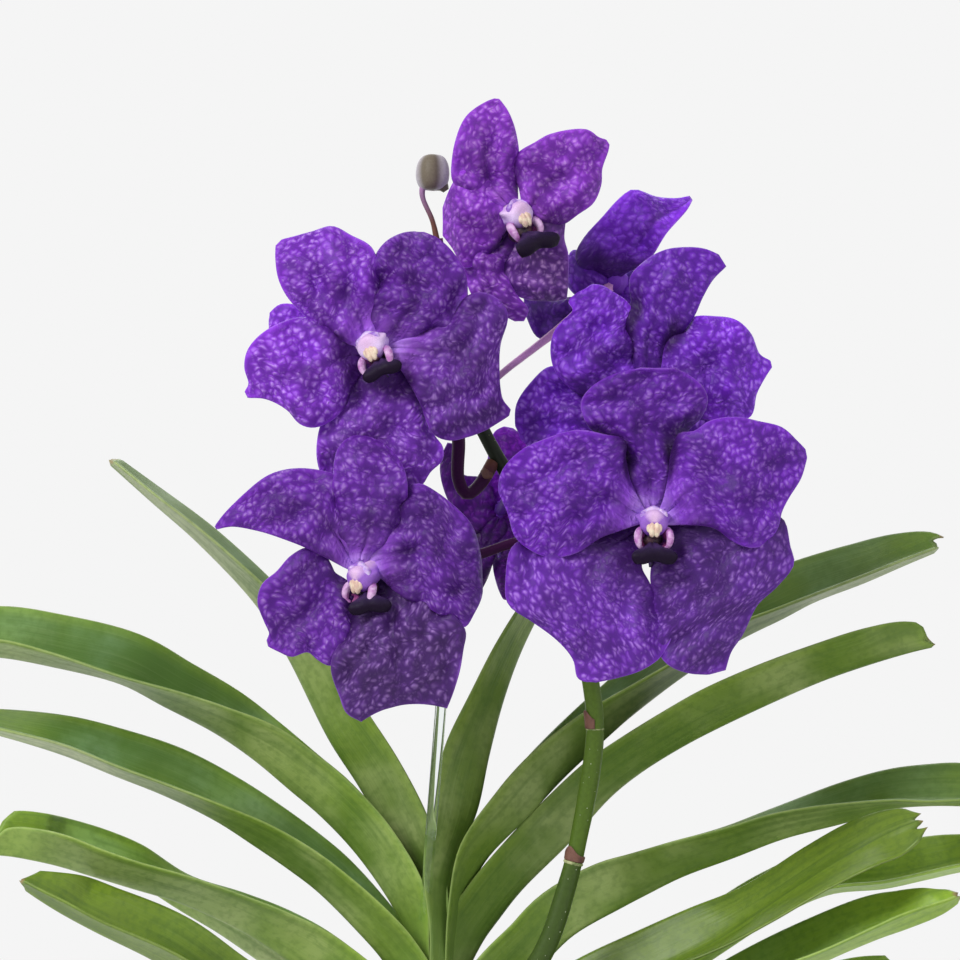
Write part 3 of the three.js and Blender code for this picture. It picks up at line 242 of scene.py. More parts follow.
tepal("rear_flower_3_petal_3", (0, 2, 8), 2, (2.5, 2.5), {},
    [(2, 2), (9, 7), (17.5, 7.5), (22, 3.5)],
    [(2.5, -1.5), (10, -5), (18.5, -4), (22, 0)])
tepal("rear_flower_3_petal_4", (0, 2, 8), 2, (2.5, 2.5), {},
    [(0.5, -2.5), (2.5, -11), (8, -17), (13.5, -17)],
    [(3.5, -0.5), (11, -3.5), (17, -9), (17, -14.5)])
tepal("rear_flower_3_petal_5", (0, 2, 8), 2, (2.5, 2.5), {},
    [(-3, -1.5), (-9.5, -7), (-12, -14.5), (-9.5, -19.5)],
    [(0, -3.5), (1.5, -11), (-0.5, -19), (-5.5, -21)])

# A leaf's stations run from its base to its tip, as (x, z, front, back, depth): the keel's place,
# how far the front and the back margin stand off it, square to it, and how far it lies behind the
# stem. tones is how young the leaf looks, how much lighter or darker it is, and how far its outer
# face fades towards the tip, each as a share. bites is how its cut tip runs, as (place across, depth).
Leaf = namedtuple("Leaf", "tones stations bites", defaults=[
    [(-1, 3), (-0.5, 0.6), (0, 0), (0.5, 0.6), (1, 3)]])
LEAVES = {}


def leaf(name, *shape):
    """Adds a leaf to the others."""
    LEAVES[name] = Leaf(*shape)


leaf("leaf_centre", (0.15, -0.04, 0), [(4, 276.5, 7, 6, -5), (3.5, 300, 6, 6, -5), (4.5, 315.5, 9, 8.5, -5),
    (7.5, 327.5, 11.5, 10.5, -5), (13, 341.5, 15, 14, -3), (17, 360, 14.5, 13.5, 0), (22, 379, 10.5, 10, 4),
    (28, 395.5, 8, 7, 9), (36.5, 412.5, 5.5, 5, 14), (43, 423.5, 2, 1.5, 17)])
leaf("leaf_left_1", (0.15, 0.08, 1), [(-4.5, 276.5, 7.5, 7.5, 2), (-3, 302, 7, 7, 2),
    (-6.5, 316.5, 10, 9.5, 3), (-15.5, 331, 14.5, 14, 4), (-26, 349.5, 15.5, 14.5, 5),
    (-36, 365, 15.5, 15, 6), (-50, 393, 12.5, 13, 9), (-60.5, 410.5, 6.5, 9, 13), (-80.5, 432, 3.5, 6.5, 18),
    (-97.5, 447, 2, 4.5, 22), (-112, 460, 1, 2.5, 25)],
    [(-1, 2), (-0.3, 0), (0.4, 0.5), (1, 2.5)])
leaf("leaf_left_2", (0, 0.27, 1), [(-5, 263, 5, 8, 0), (-8, 293.5, 5.5, 9, 0), (-13.5, 307, 11.5, 11.5, 0),
    (-26, 325.5, 14, 13.5, 0), (-39, 339.5, 14.5, 14.5, -2), (-49, 348, 14.5, 14.5, -4),
    (-62, 359, 13, 14.5, -7), (-75, 368, 9, 15.5, -10), (-92, 377, 5.5, 16.5, -14),
    (-107, 385, 1.5, 17, -18), (-131, 391, 3.5, 17, -22), (-148.5, 394, 5, 16.5, -24),
    (-163, 394, 5, 14.5, -25), (-174.5, 391.5, 2.5, 5, -26)])
leaf("leaf_left_3", (0.05, 0.18, 1.2), [(-5.5, 251, 9, 9, 0), (-8.5, 274.5, 11.5, 11, 0),
    (-17.5, 290, 12, 12.5, -1), (-27, 301, 11.5, 13.5, -3), (-40, 314, 10, 14.5, -6),
    (-49, 321, 9.5, 15, -8), (-62, 330, 8, 15.5, -11), (-75, 338.5, 5, 15.5, -14), (-92, 347, 3, 16, -17),
    (-109.5, 354, 2.5, 15, -20), (-127, 361, 2.5, 12.5, -23), (-148.5, 367.5, 1.5, 8, -26),
    (-160, 370, 1.5, 5.5, -27), (-169.5, 371.5, 1, 2.5, -28)])
leaf("leaf_left_4", (0.35, 0.32, 0.6), [(-6, 239, 9.5, 9.5, 0), (-11, 256, 13.5, 13, -1),
    (-26, 271.5, 15.5, 15, -3), (-46.5, 287.5, 15.5, 15.5, -6), (-57.5, 295.5, 13, 13.5, -8),
    (-70.5, 303, 10.5, 11, -11), (-87.5, 310.5, 9, 9, -14), (-103.5, 315.5, 8.5, 14, -17),
    (-116.5, 319.5, 9, 15.5, -19), (-128, 323, 10, 15.5, -21), (-136.5, 325, 10, 15.5, -23),
    (-145, 326.5, 9, 14.5, -24), (-153, 327, 5, 11, -25)],
    [(-1, 6), (-0.7, 2), (-0.4, 3.5), (-0.1, 0.5), (0.2, 2.5), (0.5, 3), (0.8, 5), (1, 8)])
leaf("leaf_left_5", (0.3, 0.4, 0.9), [(-6, 229, 9.5, 9.5, 2), (-12.5, 247.5, 13, 13, 6),
    (-29.5, 264.5, 14.5, 13.5, 9), (-46.5, 280, 14.5, 13.5, 12), (-59.5, 289.5, 13, 12, 15),
    (-74, 299.5, 10.5, 10, 18), (-87.5, 307.5, 8, 8, 21), (-97.5, 314, 4, 5, 24)])
leaf("leaf_left_6", (0.7, -0.1, 0.6), [(-6, 220.5, 9.5, 9.5, -1), (-14.5, 235.5, 14.5, 13.5, -4),
    (-33, 249, 14.5, 15, -9), (-53.5, 263, 11.5, 16.5, -14), (-75.5, 277, 7.5, 17.5, -19),
    (-93, 289.5, 5, 17.5, -23), (-115.5, 301, 3.5, 15.5, -28), (-127.5, 307.5, 3.5, 13.5, -31),
    (-135.5, 312.5, 2.5, 9.5, -33), (-142, 317, 1.5, 5, -34)],
    [(-1, 1.5), (-0.5, 0), (-0.1, 3.2), (0.3, 0.3), (1, 4)])
leaf("leaf_right_1", (0.15, -0.03, 1), [(6, 269.5, 3, 6, 0), (5.5, 293.5, 2.5, 6, -1),
    (8.5, 309.5, 4.5, 8, -2), (16, 324.5, 9.5, 10, -3.5), (30.5, 339.5, 13, 12.5, -4), (42, 352, 13, 13, -2),
    (57, 366, 11, 13.5, 3), (65.5, 373.5, 8.5, 13.5, 7), (84.5, 388, 5, 15.5, 12),
    (102.5, 399.5, 4.5, 16.5, 17), (117.5, 407, 3, 16.5, 20), (128, 412.5, 1.5, 14.5, 22),
    (145, 419, 1.5, 13, 25), (159, 425, 1, 10.5, 27), (170, 429.5, 0.5, 6.5, 29), (174, 431, 0.5, 3, 29)],
    [(-1, 3), (0, 3.4), (0.35, 3.2), (0.5, 4), (0.8, 0.4), (1, 0)])
leaf("leaf_right_2", (0.1, 0.06, 0), [(6, 259.5, 5, 7, 2), (8, 281.5, 7, 9, 3), (14.5, 296, 14, 13.5, 4),
    (20.5, 304.5, 14.5, 13.5, 4), (28, 314, 14.5, 14, 4), (44.5, 330.5, 15.5, 14.5, 3),
    (58.5, 346, 14, 13.5, 1), (69, 354.5, 13, 12.5, -2), (83.5, 363.5, 13, 12.5, -4),
    (96, 370, 13.5, 13, -5), (114, 378.5, 13, 12, -6), (131.5, 386, 12, 11.5, -7),
    (149, 392, 11.5, 10.5, -8), (161, 395.5, 10, 9, -9), (169.5, 397.5, 6.5, 6, -9)],
    [(-1, 5), (-0.85, 3), (-0.5, 2.4), (-0.3, 3.6), (0, 0), (0.4, 2), (1, 4)])
leaf("leaf_right_3", (0.3, 0.08, 0.1), [(6.5, 246, 9.5, 9.5, 2), (14.5, 266, 15, 14.5, 1),
    (26.5, 280, 16.5, 15.5, 0), (36.5, 290, 16.5, 16, 0), (46, 299, 17, 16.5, 0), (62.5, 308.5, 16.5, 16, 0),
    (71, 313, 14.5, 14, 0), (83, 319, 12, 11.5, 0), (100.5, 325.5, 10, 10, 0), (117.5, 332, 8.5, 10, 0),
    (138.5, 337.5, 6, 12.5, 0), (155.5, 342.5, 2, 12.5, -1), (166.5, 343.5, 0.5, 13, -2),
    (178, 343.5, 1, 13.5, -3), (191.5, 342.5, 1.5, 11.5, -4), (202.5, 340, 1.5, 4, -5)])
leaf("leaf_right_4", (0.85, -0.28, 0), [(7, 235.5, 10, 10, 0), (18, 251, 14.5, 14.5, -3),
    (35, 264.5, 12, 15.5, -7), (55.5, 276.5, 6, 16, -12), (74.5, 286, 0.5, 15.5, -16),
    (94.5, 296, -2, 14.5, -20), (110.5, 306.5, -4, 11, -24), (130, 319.5, -5.5, 10.5, -28),
    (145, 328.5, -7, 10, -31), (155.5, 334, -8, 8, -33), (165.5, 338, -4, 4, -35)],
    [(-1, 4), (-0.6, 0), (-0.3, 4), (0, 0.5), (0.25, 3.5), (0.6, 0.4), (1, 5)])
leaf("leaf_right_5", (1, 0.6, 0), [(7, 227, 10, 10, 3), (21.5, 242.5, 13.5, 13.5, 7),
    (42, 256, 13.5, 14.5, 10), (72.5, 276.5, 10, 15, 14), (96, 292.5, 7, 15, 17),
    (116.5, 305.5, 3.5, 15, 20), (133.5, 313, 1.5, 14.5, 22), (152.5, 315, 1.5, 13.5, 24),
    (166.5, 318, 1.5, 13.5, 26), (178, 320.5, 1.5, 12, 28), (189.5, 322, 1.5, 9.5, 29),
    (197.5, 322.5, 1, 4, 30)])
leaf("leaf_right_6", (0.6, 0.45, 0.3), [(7, 218.5, 10, 10, -2), (25, 234, 14.5, 14.5, -6),
    (55.5, 249, 13.5, 15, -12), (86, 265.5, 10, 15.5, -18), (113, 281.5, 5.5, 15, -24),
    (131.5, 291, 3, 14.5, -28), (149, 298.5, 3.5, 14, -31), (159, 302, 4.5, 12.5, -33),
    (171, 307, 3.5, 9, -35), (178, 312, 1, 3, -36)],
    [(-1, 1), (-0.3, 0), (0.1, 2), (0.6, 0.2), (1, 2)])
leaf("leaf_right_7", (0.5, 0.3, 0), [(6.5, 212, 9.5, 9.5, 2), (25, 222, 13.5, 13.5, 5),
    (55.5, 236.5, 13, 14.5, 8), (89.5, 252.5, 9.5, 15, 12), (120, 266, 5.5, 15, 16),
    (140.5, 275.5, 3.5, 14.5, 19), (152.5, 280, 3, 12, 21), (159.5, 283, 2.5, 9, 22)])


# ---- Curves ----
CURVE_SAMPLES = 24  # points worked out between two given ones


def through(points, knots, at):
    """Points at the parameters `at` of the smooth curve that meets points[i] at knots[i]."""
    before = 2 * points[:1] - points[1:2]
    after = 2 * points[-1:] - points[-2:-1]
    longer = np.concatenate([before, points, after])
    steps = np.diff(np.concatenate([[2 * knots[0] - knots[1]], knots, [2 * knots[-1] - knots[-2]]]))
    slopes = np.diff(longer, axis=0) / steps[:, None]
    both = (longer[2:] - longer[:-2]) / (steps[:-1] + steps[1:])[:, None]
    tangents = slopes[:-1] + slopes[1:] - both
    i = np.clip(np.searchsorted(knots, at, side="right") - 1, 0, len(knots) - 2)
    span = steps[1:-1][i][..., None]
    t = (at - knots[i])[..., None] / span
    start, end = points[i], points[i + 1]
    return (
        (2 * t**3 - 3 * t**2 + 1) * start
        + (t**3 - 2 * t**2 + t) * span * tangents[i]
        + (3 * t**2 - 2 * t**3) * end
        + (t**3 - t**2) * span * tangents[i + 1]
    )


def lengths_along(points):
    """How far each point lies along the line of points."""
    steps = norm(np.diff(points, axis=0), axis=1)
    return np.concatenate([[0], np.cumsum(steps)])


def knots_of(points):
    """Knots that let a curve through unevenly spaced points run without loops or bumps."""
    steps = norm(np.diff(points, axis=0), axis=1)
    return np.concatenate([[0], np.cumsum(np.sqrt(steps))])


def spaced(points, fractions):
    """The points at these fractions of the length of the smooth curve through the given ones."""
    points = np.asarray(points, float)
    knots = knots_of(points)
    fine = np.linspace(0, knots[-1], CURVE_SAMPLES * len(points))
    run = lengths_along(through(points, knots, fine))
    return through(points, knots, np.interp(np.asarray(fractions) * run[-1], run, fine))


def smooth_step(start, end, value):
    """0 before start and 1 after end, with a soft turn between them."""
    t = np.clip((value - start) / (end - start), 0, 1)
    return t * t * (3 - 2 * t)


def bump(value, centre, width):
    """1 at the centre, fading over the width on both sides."""
    return np.exp(-(((value - centre) / width) ** 2))


def closer_at_the_ends(count, share=0.55):
    """Fractions from 0 to 1 that lie closer together near both ends."""
    even = np.linspace(0, 1, count)
    return (1 - share) * even + share * (1 - np.cos(math.pi * even)) / 2


def closer_at_the_sides(count):
    """Places from -1 to 1 that lie closer together near both of them."""
    return np.sin(np.linspace(-math.pi / 2, math.pi / 2, count))


def turn_in(count):
    """The angles that part a full turn into this many steps."""
    return np.linspace(0, math.tau, count, endpoint=False)


# ---- Meshes ----
def mesh_piece(name, points, face_sets, marks=None, uv=None):
    """A smooth-shaded object, with its marks as attributes of its points and its own UV map."""
    mesh = bpy.data.meshes.new(name)
    mesh.from_pydata(points.tolist(), [], [face for faces in face_sets for face in faces.tolist()])
    mesh.update()
    mesh.shade_smooth()
    for key, values in (marks or {}).items():
        mark = mesh.attributes.new(key, "FLOAT", "POINT")
        mark.data.foreach_set("value", values.astype(np.float32))
    if uv is not None:
        corner = np.empty(len(mesh.loops), dtype=np.int32)
        mesh.loops.foreach_get("vertex_index", corner)
        layer = mesh.uv_layers.new(name="surface")
        layer.data.foreach_set("uv", uv.astype(np.float32)[corner].ravel())
    return placed_object(name, mesh)


def placed_object(name, mesh):
    """An object of the scene with this mesh."""
    piece = bpy.data.objects.new(name, mesh)
    bpy.context.scene.collection.objects.link(piece)
    return piece


def closed_piece(name, points, face_sets, marks=None, uv=None):
    """A mesh_piece with a closed skin, whose faces are all turned round if they look inwards."""
    centred = points - points.mean(axis=0)
    volume = 0.0
    for faces in face_sets:
        first, *others = centred[faces].transpose(1, 0, 2)
        for corner, after in zip(others, others[1:]):
            volume += np.sum(first * np.cross(corner, after))
    if volume <= 0:
        face_sets = [faces[:, ::-1] for faces in face_sets]
    return mesh_piece(name, points, face_sets, marks, uv)


def grid_quads(index):
    """Quads between the neighbours in a grid of point numbers."""
    corners = [index[:-1, :-1], index[:-1, 1:], index[1:, 1:], index[1:, :-1]]
    return np.stack([corner.ravel() for corner in corners], axis=1)


def looped_index(rows, columns):
    """Numbers of a grid's points, with the first column once more after the last."""
    index = np.arange(rows * columns).reshape(rows, columns)
    return np.concatenate([index, index[:, :1]], axis=1)


def normals_of(grid, towards=(0, 0, 0)):
    """The normals of a grid of points, on the side that looks towards a direction if one is given."""
    normal = np.cross(np.gradient(grid, axis=0), np.gradient(grid, axis=1))
    normal /= np.maximum(norm(normal, axis=2, keepdims=True), 1e-12)
    return -normal if np.sum(normal * towards) < 0 else normal


def border_distance(grid):
    """How far each point of a grid lies from its border, measured along the grid's lines."""
    across = norm(np.diff(grid, axis=1), axis=2)
    across = np.concatenate([np.zeros((len(grid), 1)), np.cumsum(across, axis=1)], axis=1)
    along = norm(np.diff(grid, axis=0), axis=2)
    along = np.concatenate([np.zeros((1, grid.shape[1])), np.cumsum(along, axis=0)], axis=0)
    return np.minimum.reduce([across, across[:, -1:] - across, along, along[-1:] - along])


def sheet_piece(name, middle, normal, thickness, rounding, marks=None, uv=None):
    """A closed sheet round a grid of middle points, which thins out to nothing on its border.

    Its two faces share the border's points. rounding is how far from the border it has its full
    thickness. A mark is one value, or a pair: on the normal's side and on the other.
    """
    rows, columns = middle.shape[:2]
    rim = border_distance(middle)
    half = (thickness * np.sqrt(np.clip(rim / rounding, 0, 1)))[..., None] / 2 * normal
    front = np.arange(rows * columns).reshape(rows, columns)
    back = front.copy()
    back[1:-1, 1:-1] = rows * columns + np.arange((rows - 2) * (columns - 2)).reshape(rows - 2, -1)

    def both(ahead, behind):
        return np.concatenate([
            np.broadcast_to(ahead, (rows, columns)).ravel(),
            np.broadcast_to(behind, (rows, columns))[1:-1, 1:-1].ravel(),
        ])

    points = np.stack([both((middle + half)[..., i], (middle - half)[..., i]) for i in range(3)], axis=1)
    quads = np.concatenate([grid_quads(front), grid_quads(back)[:, ::-1]])
    values = {key: both(*value) if isinstance(value, tuple) else both(value, value)
              for key, value in (marks or {}).items()}
    if uv is None:
        uv = np.zeros((rows, columns, 2))
    flat_uv = np.stack([both(uv[..., i], uv[..., i]) for i in range(2)], axis=1)
    return closed_piece(name, points, [quads], values, flat_uv)


def ring_piece(name, rings, shade=None):
    """A closed solid through rings of points, each end drawn together in one point.

    Its mark runs from 0 at the first ring to 1 at the last, or takes the values of shade, which are
    the same for each ring.
    """
    count, sides = rings.shape[:2]
    points = np.concatenate([rings.reshape(-1, 3), rings[[0, -1]].mean(axis=1)])
    along = np.linspace(0, 1, count)[:, None] if shade is None else shade
    along = np.broadcast_to(along, (count, sides))
    along = np.concatenate([along.ravel(), along[[0, -1]].mean(axis=1)])
    index = looped_index(count, sides)
    foot, top = (np.full(sides, count * sides + i) for i in range(2))
    caps = np.stack([[foot, index[0, 1:], index[0, :-1]], [top, index[-1, :-1], index[-1, 1:]]])
    caps = caps.transpose(2, 0, 1).reshape(-1, 3)
    return closed_piece(name, points, [grid_quads(index), caps], {"along": along})


def settled(piece, slot, *nodes, finish=None):
    """Finishes a piece, which rides on the body and stands for its nodes."""
    if finish:
        piece.data.materials.append(finish)
    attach(piece, BODY)
    if nodes:
        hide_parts(*nodes)


# ---- Nodes ----
class Value:
    """An output of a node. Sums, differences and products of it are further nodes of its tree."""

    def __init__(self, socket):
        self.socket = socket

    def beside(self, name):
        """Another output of the same node."""
        return Value(self.socket.node.outputs[name])

    def node(self, kind, inputs, output=0, **settings):
        return add_node(self.socket.id_data, kind, inputs, output, **settings)

    def math(self, operation, other=0.0):
        return self.node("ShaderNodeMath", {0: self, 1: other}, operation=operation)

    def __add__(self, other):
        return self.math("ADD", other)

    def __sub__(self, other):
        return self.math("SUBTRACT", other)

    def __mul__(self, other):
        return self.math("MULTIPLY", other)

    def ranged(self, start, end, high=1.0):
        """0 at start and `high` at end, with a soft turn between them; start may be the larger one."""
        return self.node("ShaderNodeMapRange", {
            "Value": self, "From Min": start, "From Max": end, "To Max": high},
            interpolation_type="SMOOTHSTEP")

    def mixed(self, first, second):
        """The first colour, covered by the second as far as this value says."""
        return self.node("ShaderNodeMix", {0: self, 6: first, 7: second}, 2, data_type="RGBA")


def fill(node, inputs):
    """Gives a node's inputs their values, or links them to other nodes' outputs."""
    for key, value in inputs.items():
        socket = node.inputs[key]
        if isinstance(value, Value):
            node.id_data.links.new(value.socket, socket)
        elif socket.type == "RGBA":
            socket.default_value = (*value, 1)
        else:
            socket.default_value = value


def add_node(tree, kind, inputs=None, output=0, **settings):
    """One output of a new node with these inputs and settings."""
    node = tree.nodes.new(kind)
    for key, value in settings.items():
        setattr(node, key, value)
    fill(node, inputs or {})
    return Value(node.outputs[output])


# ---- Geometry nodes ----
def tree_with_inputs(name, **inputs):
    """A geometry tree with a geometry socket at each end and these inputs, listed by kind; and its inputs."""
    tree = bpy.data.node_groups.new(name, "GeometryNodeTree")
    tree.interface.new_socket(name="Geometry", in_out="INPUT", socket_type="NodeSocketGeometry")
    tree.interface.new_socket(name="Geometry", in_out="OUTPUT", socket_type="NodeSocketGeometry")
    for kind, keys in inputs.items():
        for key in keys:
            tree.interface.new_socket(name=key, in_out="INPUT", socket_type="NodeSocket" + kind)
    return tree, {socket.name: Value(socket) for socket in tree.nodes.new("NodeGroupInput").outputs}


def finished_tree(tree, geometry, material):
    """The tree, ended by smooth shading, Realize Instances and Set Material."""
    soft = add_node(tree, "GeometryNodeSetShadeSmooth", {"Geometry": geometry})
    real = add_node(tree, "GeometryNodeRealizeInstances", {"Geometry": soft})
    coloured = add_node(tree, "GeometryNodeSetMaterial", {"Geometry": real, "Material": material})
    fill(tree.nodes.new("NodeGroupOutput"), {0: coloured})
    return tree


def stalk_tree():
    """A ribbed, slightly uneven tube along the piece's line of points, as wide as their radius says."""
    tree, given = tree_with_inputs(
        "stalk_along_path", Int=["Sides", "Ribs"],
        Float=["Rib depth", "Rib twist", "Roughness", "Grain", "Seed"], Material=["Material"])

    def counted(curve, name):
        """The curve, with how far along it each point lies kept under this name."""
        place = add_node(tree, "GeometryNodeSplineParameter", output="Factor")
        return add_node(tree, "GeometryNodeStoreNamedAttribute", {
            "Geometry": curve, "Name": name, "Value": place})

    def kept(name):
        return add_node(tree, "GeometryNodeInputNamedAttribute", {"Name": name})

    line = add_node(tree, "GeometryNodeMeshToCurve", {"Mesh": given["Geometry"]})
    circle = add_node(tree, "GeometryNodeCurvePrimitiveCircle", {
        "Resolution": given["Sides"], "Radius": 1.0})
    tube = add_node(tree, "GeometryNodeCurveToMesh", {
        "Curve": counted(line, "along"), "Profile Curve": counted(circle, "around"),
        "Scale": kept("radius"), "Fill Caps": True})
    along = kept("along")
    twisted = kept("around") * given["Ribs"] + along * given["Rib twist"]
    rib = (twisted * math.tau).math("SINE") * (along * given["Rib depth"])
    grain = add_node(tree, "ShaderNodeTexNoise", {
        "Vector": add_node(tree, "GeometryNodeInputPosition"), "W": given["Seed"],
        "Scale": given["Grain"], "Detail": 3.0}, noise_dimensions="4D")
    push = add_node(tree, "ShaderNodeVectorMath", {
        0: add_node(tree, "GeometryNodeInputNormal"),
        "Scale": rib + (grain - 0.5) * given["Roughness"]}, operation="SCALE")
    moved = add_node(tree, "GeometryNodeSetPosition", {"Geometry": tube, "Offset": push})
    return finished_tree(tree, moved, given["Material"])


def speck_tree():
    """Small flat lumps scattered over the piece's surface."""
    tree, given = tree_with_inputs("specks_on_surface", Float=["Density", "Spacing", "Size", "Length"],
                                   Int=["Seed"], Material=["Material"])
    spread = add_node(tree, "GeometryNodeDistributePointsOnFaces", {
        "Mesh": given["Geometry"], "Distance Min": given["Spacing"], "Density Max": given["Density"],
        "Seed": given["Seed"]}, distribute_method="POISSON")
    lump = add_node(tree, "GeometryNodeMeshIcoSphere", {"Radius": 1, "Subdivisions": 1})
    varied = add_node(tree, "FunctionNodeRandomValue", {2: 0.6, 3: 1.3, "Seed": given["Seed"]}, output=1)
    size = varied * given["Size"]
    shape = add_node(tree, "ShaderNodeCombineXYZ", {"X": size, "Y": size * given["Length"], "Z": size * 0.35})
    specks = add_node(tree, "GeometryNodeInstanceOnPoints", {
        "Points": spread, "Instance": lump, "Rotation": spread.beside("Rotation"), "Scale": shape})
    return finished_tree(tree, specks, given["Material"])


def grown(name, host, tree, inputs):
    """What the tree makes of the host object, as a plain mesh object; the host goes."""
    modifier = host.modifiers.new("grown", "NODES")
    modifier.node_group = tree
    sockets = {item.name: item.identifier for item in tree.interface.items_tree if item.in_out == "INPUT"}
    for key, value in inputs.items():
        modifier[sockets[key]] = value
    bpy.context.view_layer.update()
    seen = host.evaluated_get(bpy.context.evaluated_depsgraph_get())
    mesh = bpy.data.meshes.new_from_object(seen)
    host.modifiers.remove(modifier)
    bpy.data.objects.remove(host)
    mesh.name = name
    return placed_object(name, mesh)


def stalk(name, path, radii, material, sides=16, steps=40, ribs=0, rib_depth=0.0, twist=0.0,
          roughness=0.0, grain=200.0, seed=0.0):
    """A tube along the smooth curve through path, in millimetres, with radii at its points."""
    fractions = np.linspace(0, 1, steps)
    points = spaced(path, fractions)
    widths = np.interp(fractions, np.linspace(0, 1, len(radii)), radii) * MM
    line = bpy.data.meshes.new(name + "_line")
    line.from_pydata((points * MM).tolist(), [(i, i + 1) for i in range(steps - 1)], [])
    radius = line.attributes.new("radius", "FLOAT", "POINT")
    radius.data.foreach_set("value", widths.astype(np.float32))
    tree = bpy.data.node_groups.get("stalk_along_path") or stalk_tree()
    return grown(name, placed_object(name + "_line", line), tree, {
        "Sides": sides, "Ribs": ribs, "Rib depth": rib_depth * MM, "Rib twist": twist,
        "Roughness": roughness * MM, "Grain": grain, "Seed": seed, "Material": material,
    })


# ---- Finishes ----
def linear(red, green, blue):
    """A colour for the shaders from its screen values, 0 to 255."""
    def one(value):
        share = value / 255
        return share / 12.92 if share <= 0.04045 else ((share + 0.055) / 1.055) ** 2.4
    return (one(red), one(green), one(blue))


def new_finish(name, sockets):
    """A material, its node tree and its shader, with the values that are the same all over."""
    material = bpy.data.materials.new(name)
    material.use_nodes = True
    shader = material.node_tree.nodes["Principled BSDF"]
    fill(shader, sockets)
    return material, material.node_tree, shader


def marks_of(tree, *names):
    """Attributes of the piece's points."""
    return [add_node(tree, "ShaderNodeAttribute", output="Fac", attribute_name=name) for name in names]


def object_place(tree):
    return add_node(tree, "ShaderNodeTexCoord", output="Object")


def surface_place(tree, along=1.0):
    """The piece's UV map, whose patterns are the longer the smaller along is."""
    uv = add_node(tree, "ShaderNodeUVMap", uv_map="surface")
    return add_node(tree, "ShaderNodeVectorMath", {0: uv, 1: (1, along, 1)}, operation="MULTIPLY")


def noise(place, scale, detail=2.0, distortion=0.0):
    return place.node("ShaderNodeTexNoise", {
        "Vector": place, "Scale": scale, "Detail": detail, "Distortion": distortion})


def cells_of(place, scale, randomness=1.0):
    """How far each place is from the middle of its cell, in a pattern of cells."""
    return place.node("ShaderNodeTexVoronoi", {
        "Vector": place, "Scale": scale, "Randomness": randomness}, voronoi_dimensions="2D")


def lightened(colour, amount):
    """The colour, brighter by this amount; 1 leaves it as it is."""
    return colour.node("ShaderNodeHueSaturation", {"Color": colour, "Value": amount})


def bumped(height, distance, strength):
    return height.node("ShaderNodeBump", {"Height": height, "Distance": distance, "Strength": strength})


def tepal_finish(name, look, hue):
    """Violet tissue with soft pale spots on low bumps, a paler rim and a pale streaked base."""
    material, tree, shader = new_finish(name, {
        "Subsurface Weight": 0.06, "Subsurface Radius": (0.7, 0.25, 1), "Subsurface Scale": 0.0008,
        "Specular IOR Level": 0.16,
    })
    rim, along, back, heart, spotted, dusk, crease, tone = marks_of(
        tree, "rim", "along", "back", "heart", "spotted", "dusk", "crease", "tone")
    place = object_place(tree)
    pitch = UV_UNIT / look.spot_pitch
    flat = surface_place(tree)
    wander = noise(flat, 0.9 * pitch, 1).beside("Color")
    shift = wander.node("ShaderNodeVectorMath", {0: wander, 1: (1.1 / pitch,) * 3, 2: flat},
                        operation="MULTIPLY_ADD")
    cells = cells_of(shift, pitch, 0.95)
    chance = add_node(tree, "ShaderNodeSeparateColor", {0: cells.beside("Color")})
    broad = noise(place, 70)
    inside = rim.ranged(0.2, 2.6)
    # The tissue between the spots.
    tissue = (rim.ranged(0.6, 7) * broad.ranged(0.62, 0.36)).mixed(hue["blade"], hue["deep"])
    tissue = (cells.ranged(0.22, 0.62, 0.55) * inside).mixed(tissue, hue["net"])
    # Painted shade: tepals that lie in shade are mixed towards a greyer, duller violet.
    tissue = dusk.mixed(tissue, look.dusk)
    # The spots, with smaller specks between them.
    size = cells.ranged(0.53, 0.04)
    size = size * size
    speckle = cells_of(shift, 1.9 * pitch).ranged(0.5, 0.1)
    patches = noise(place, 160).ranged(0.4, 0.62)
    tissue = (speckle * speckle * patches * 0.14 * inside).mixed(tissue, hue["spot"])
    strong = chance.ranged(0, 0.9, 0.7) + broad.ranged(0.4, 0.65, 0.4)
    spots = size * strong * inside * along.ranged(0.08, 0.25) * look.spot_strength * spotted
    tissue = spots.mixed(tissue, hue["spot"])
    # The pale streaked base, the rim, the back, and painted shade in the creases.
    streak = noise(surface_place(tree, 0.12), 60).ranged(0.38, 0.62)
    claw = along.ranged(0.34, 0.1) * (streak * 0.5 + 0.35) * heart
    tissue = claw.mixed(tissue, hue["throat"])
    glow = along.ranged(0.16, 0.05) * (streak * 0.4 + 0.5) * heart
    tissue = glow.mixed(tissue, look.heart)
    tissue = rim.ranged(0.75, 0.15, 0.6).mixed(tissue, look.rim)
    vein = noise(surface_place(tree, 0.2), 40).ranged(0.4, 0.65)
    tissue = (back * 0.75).mixed(tissue, vein.mixed(look.back, hue["blade"]))
    # Painted shade: darker in folds, where margins tuck under their neighbours, and round the lip.
    tissue = (crease * 0.9).mixed(tissue, look.crease)
    grain = noise(place, 1600)
    fill(shader, {
        "Base Color": lightened(tissue, tone + 1), "Roughness": grain * 0.2 + 0.36,
        "Normal": bumped(size + speckle * 0.2 + grain * 0.15, 0.00035, 0.8),
    })
    return material


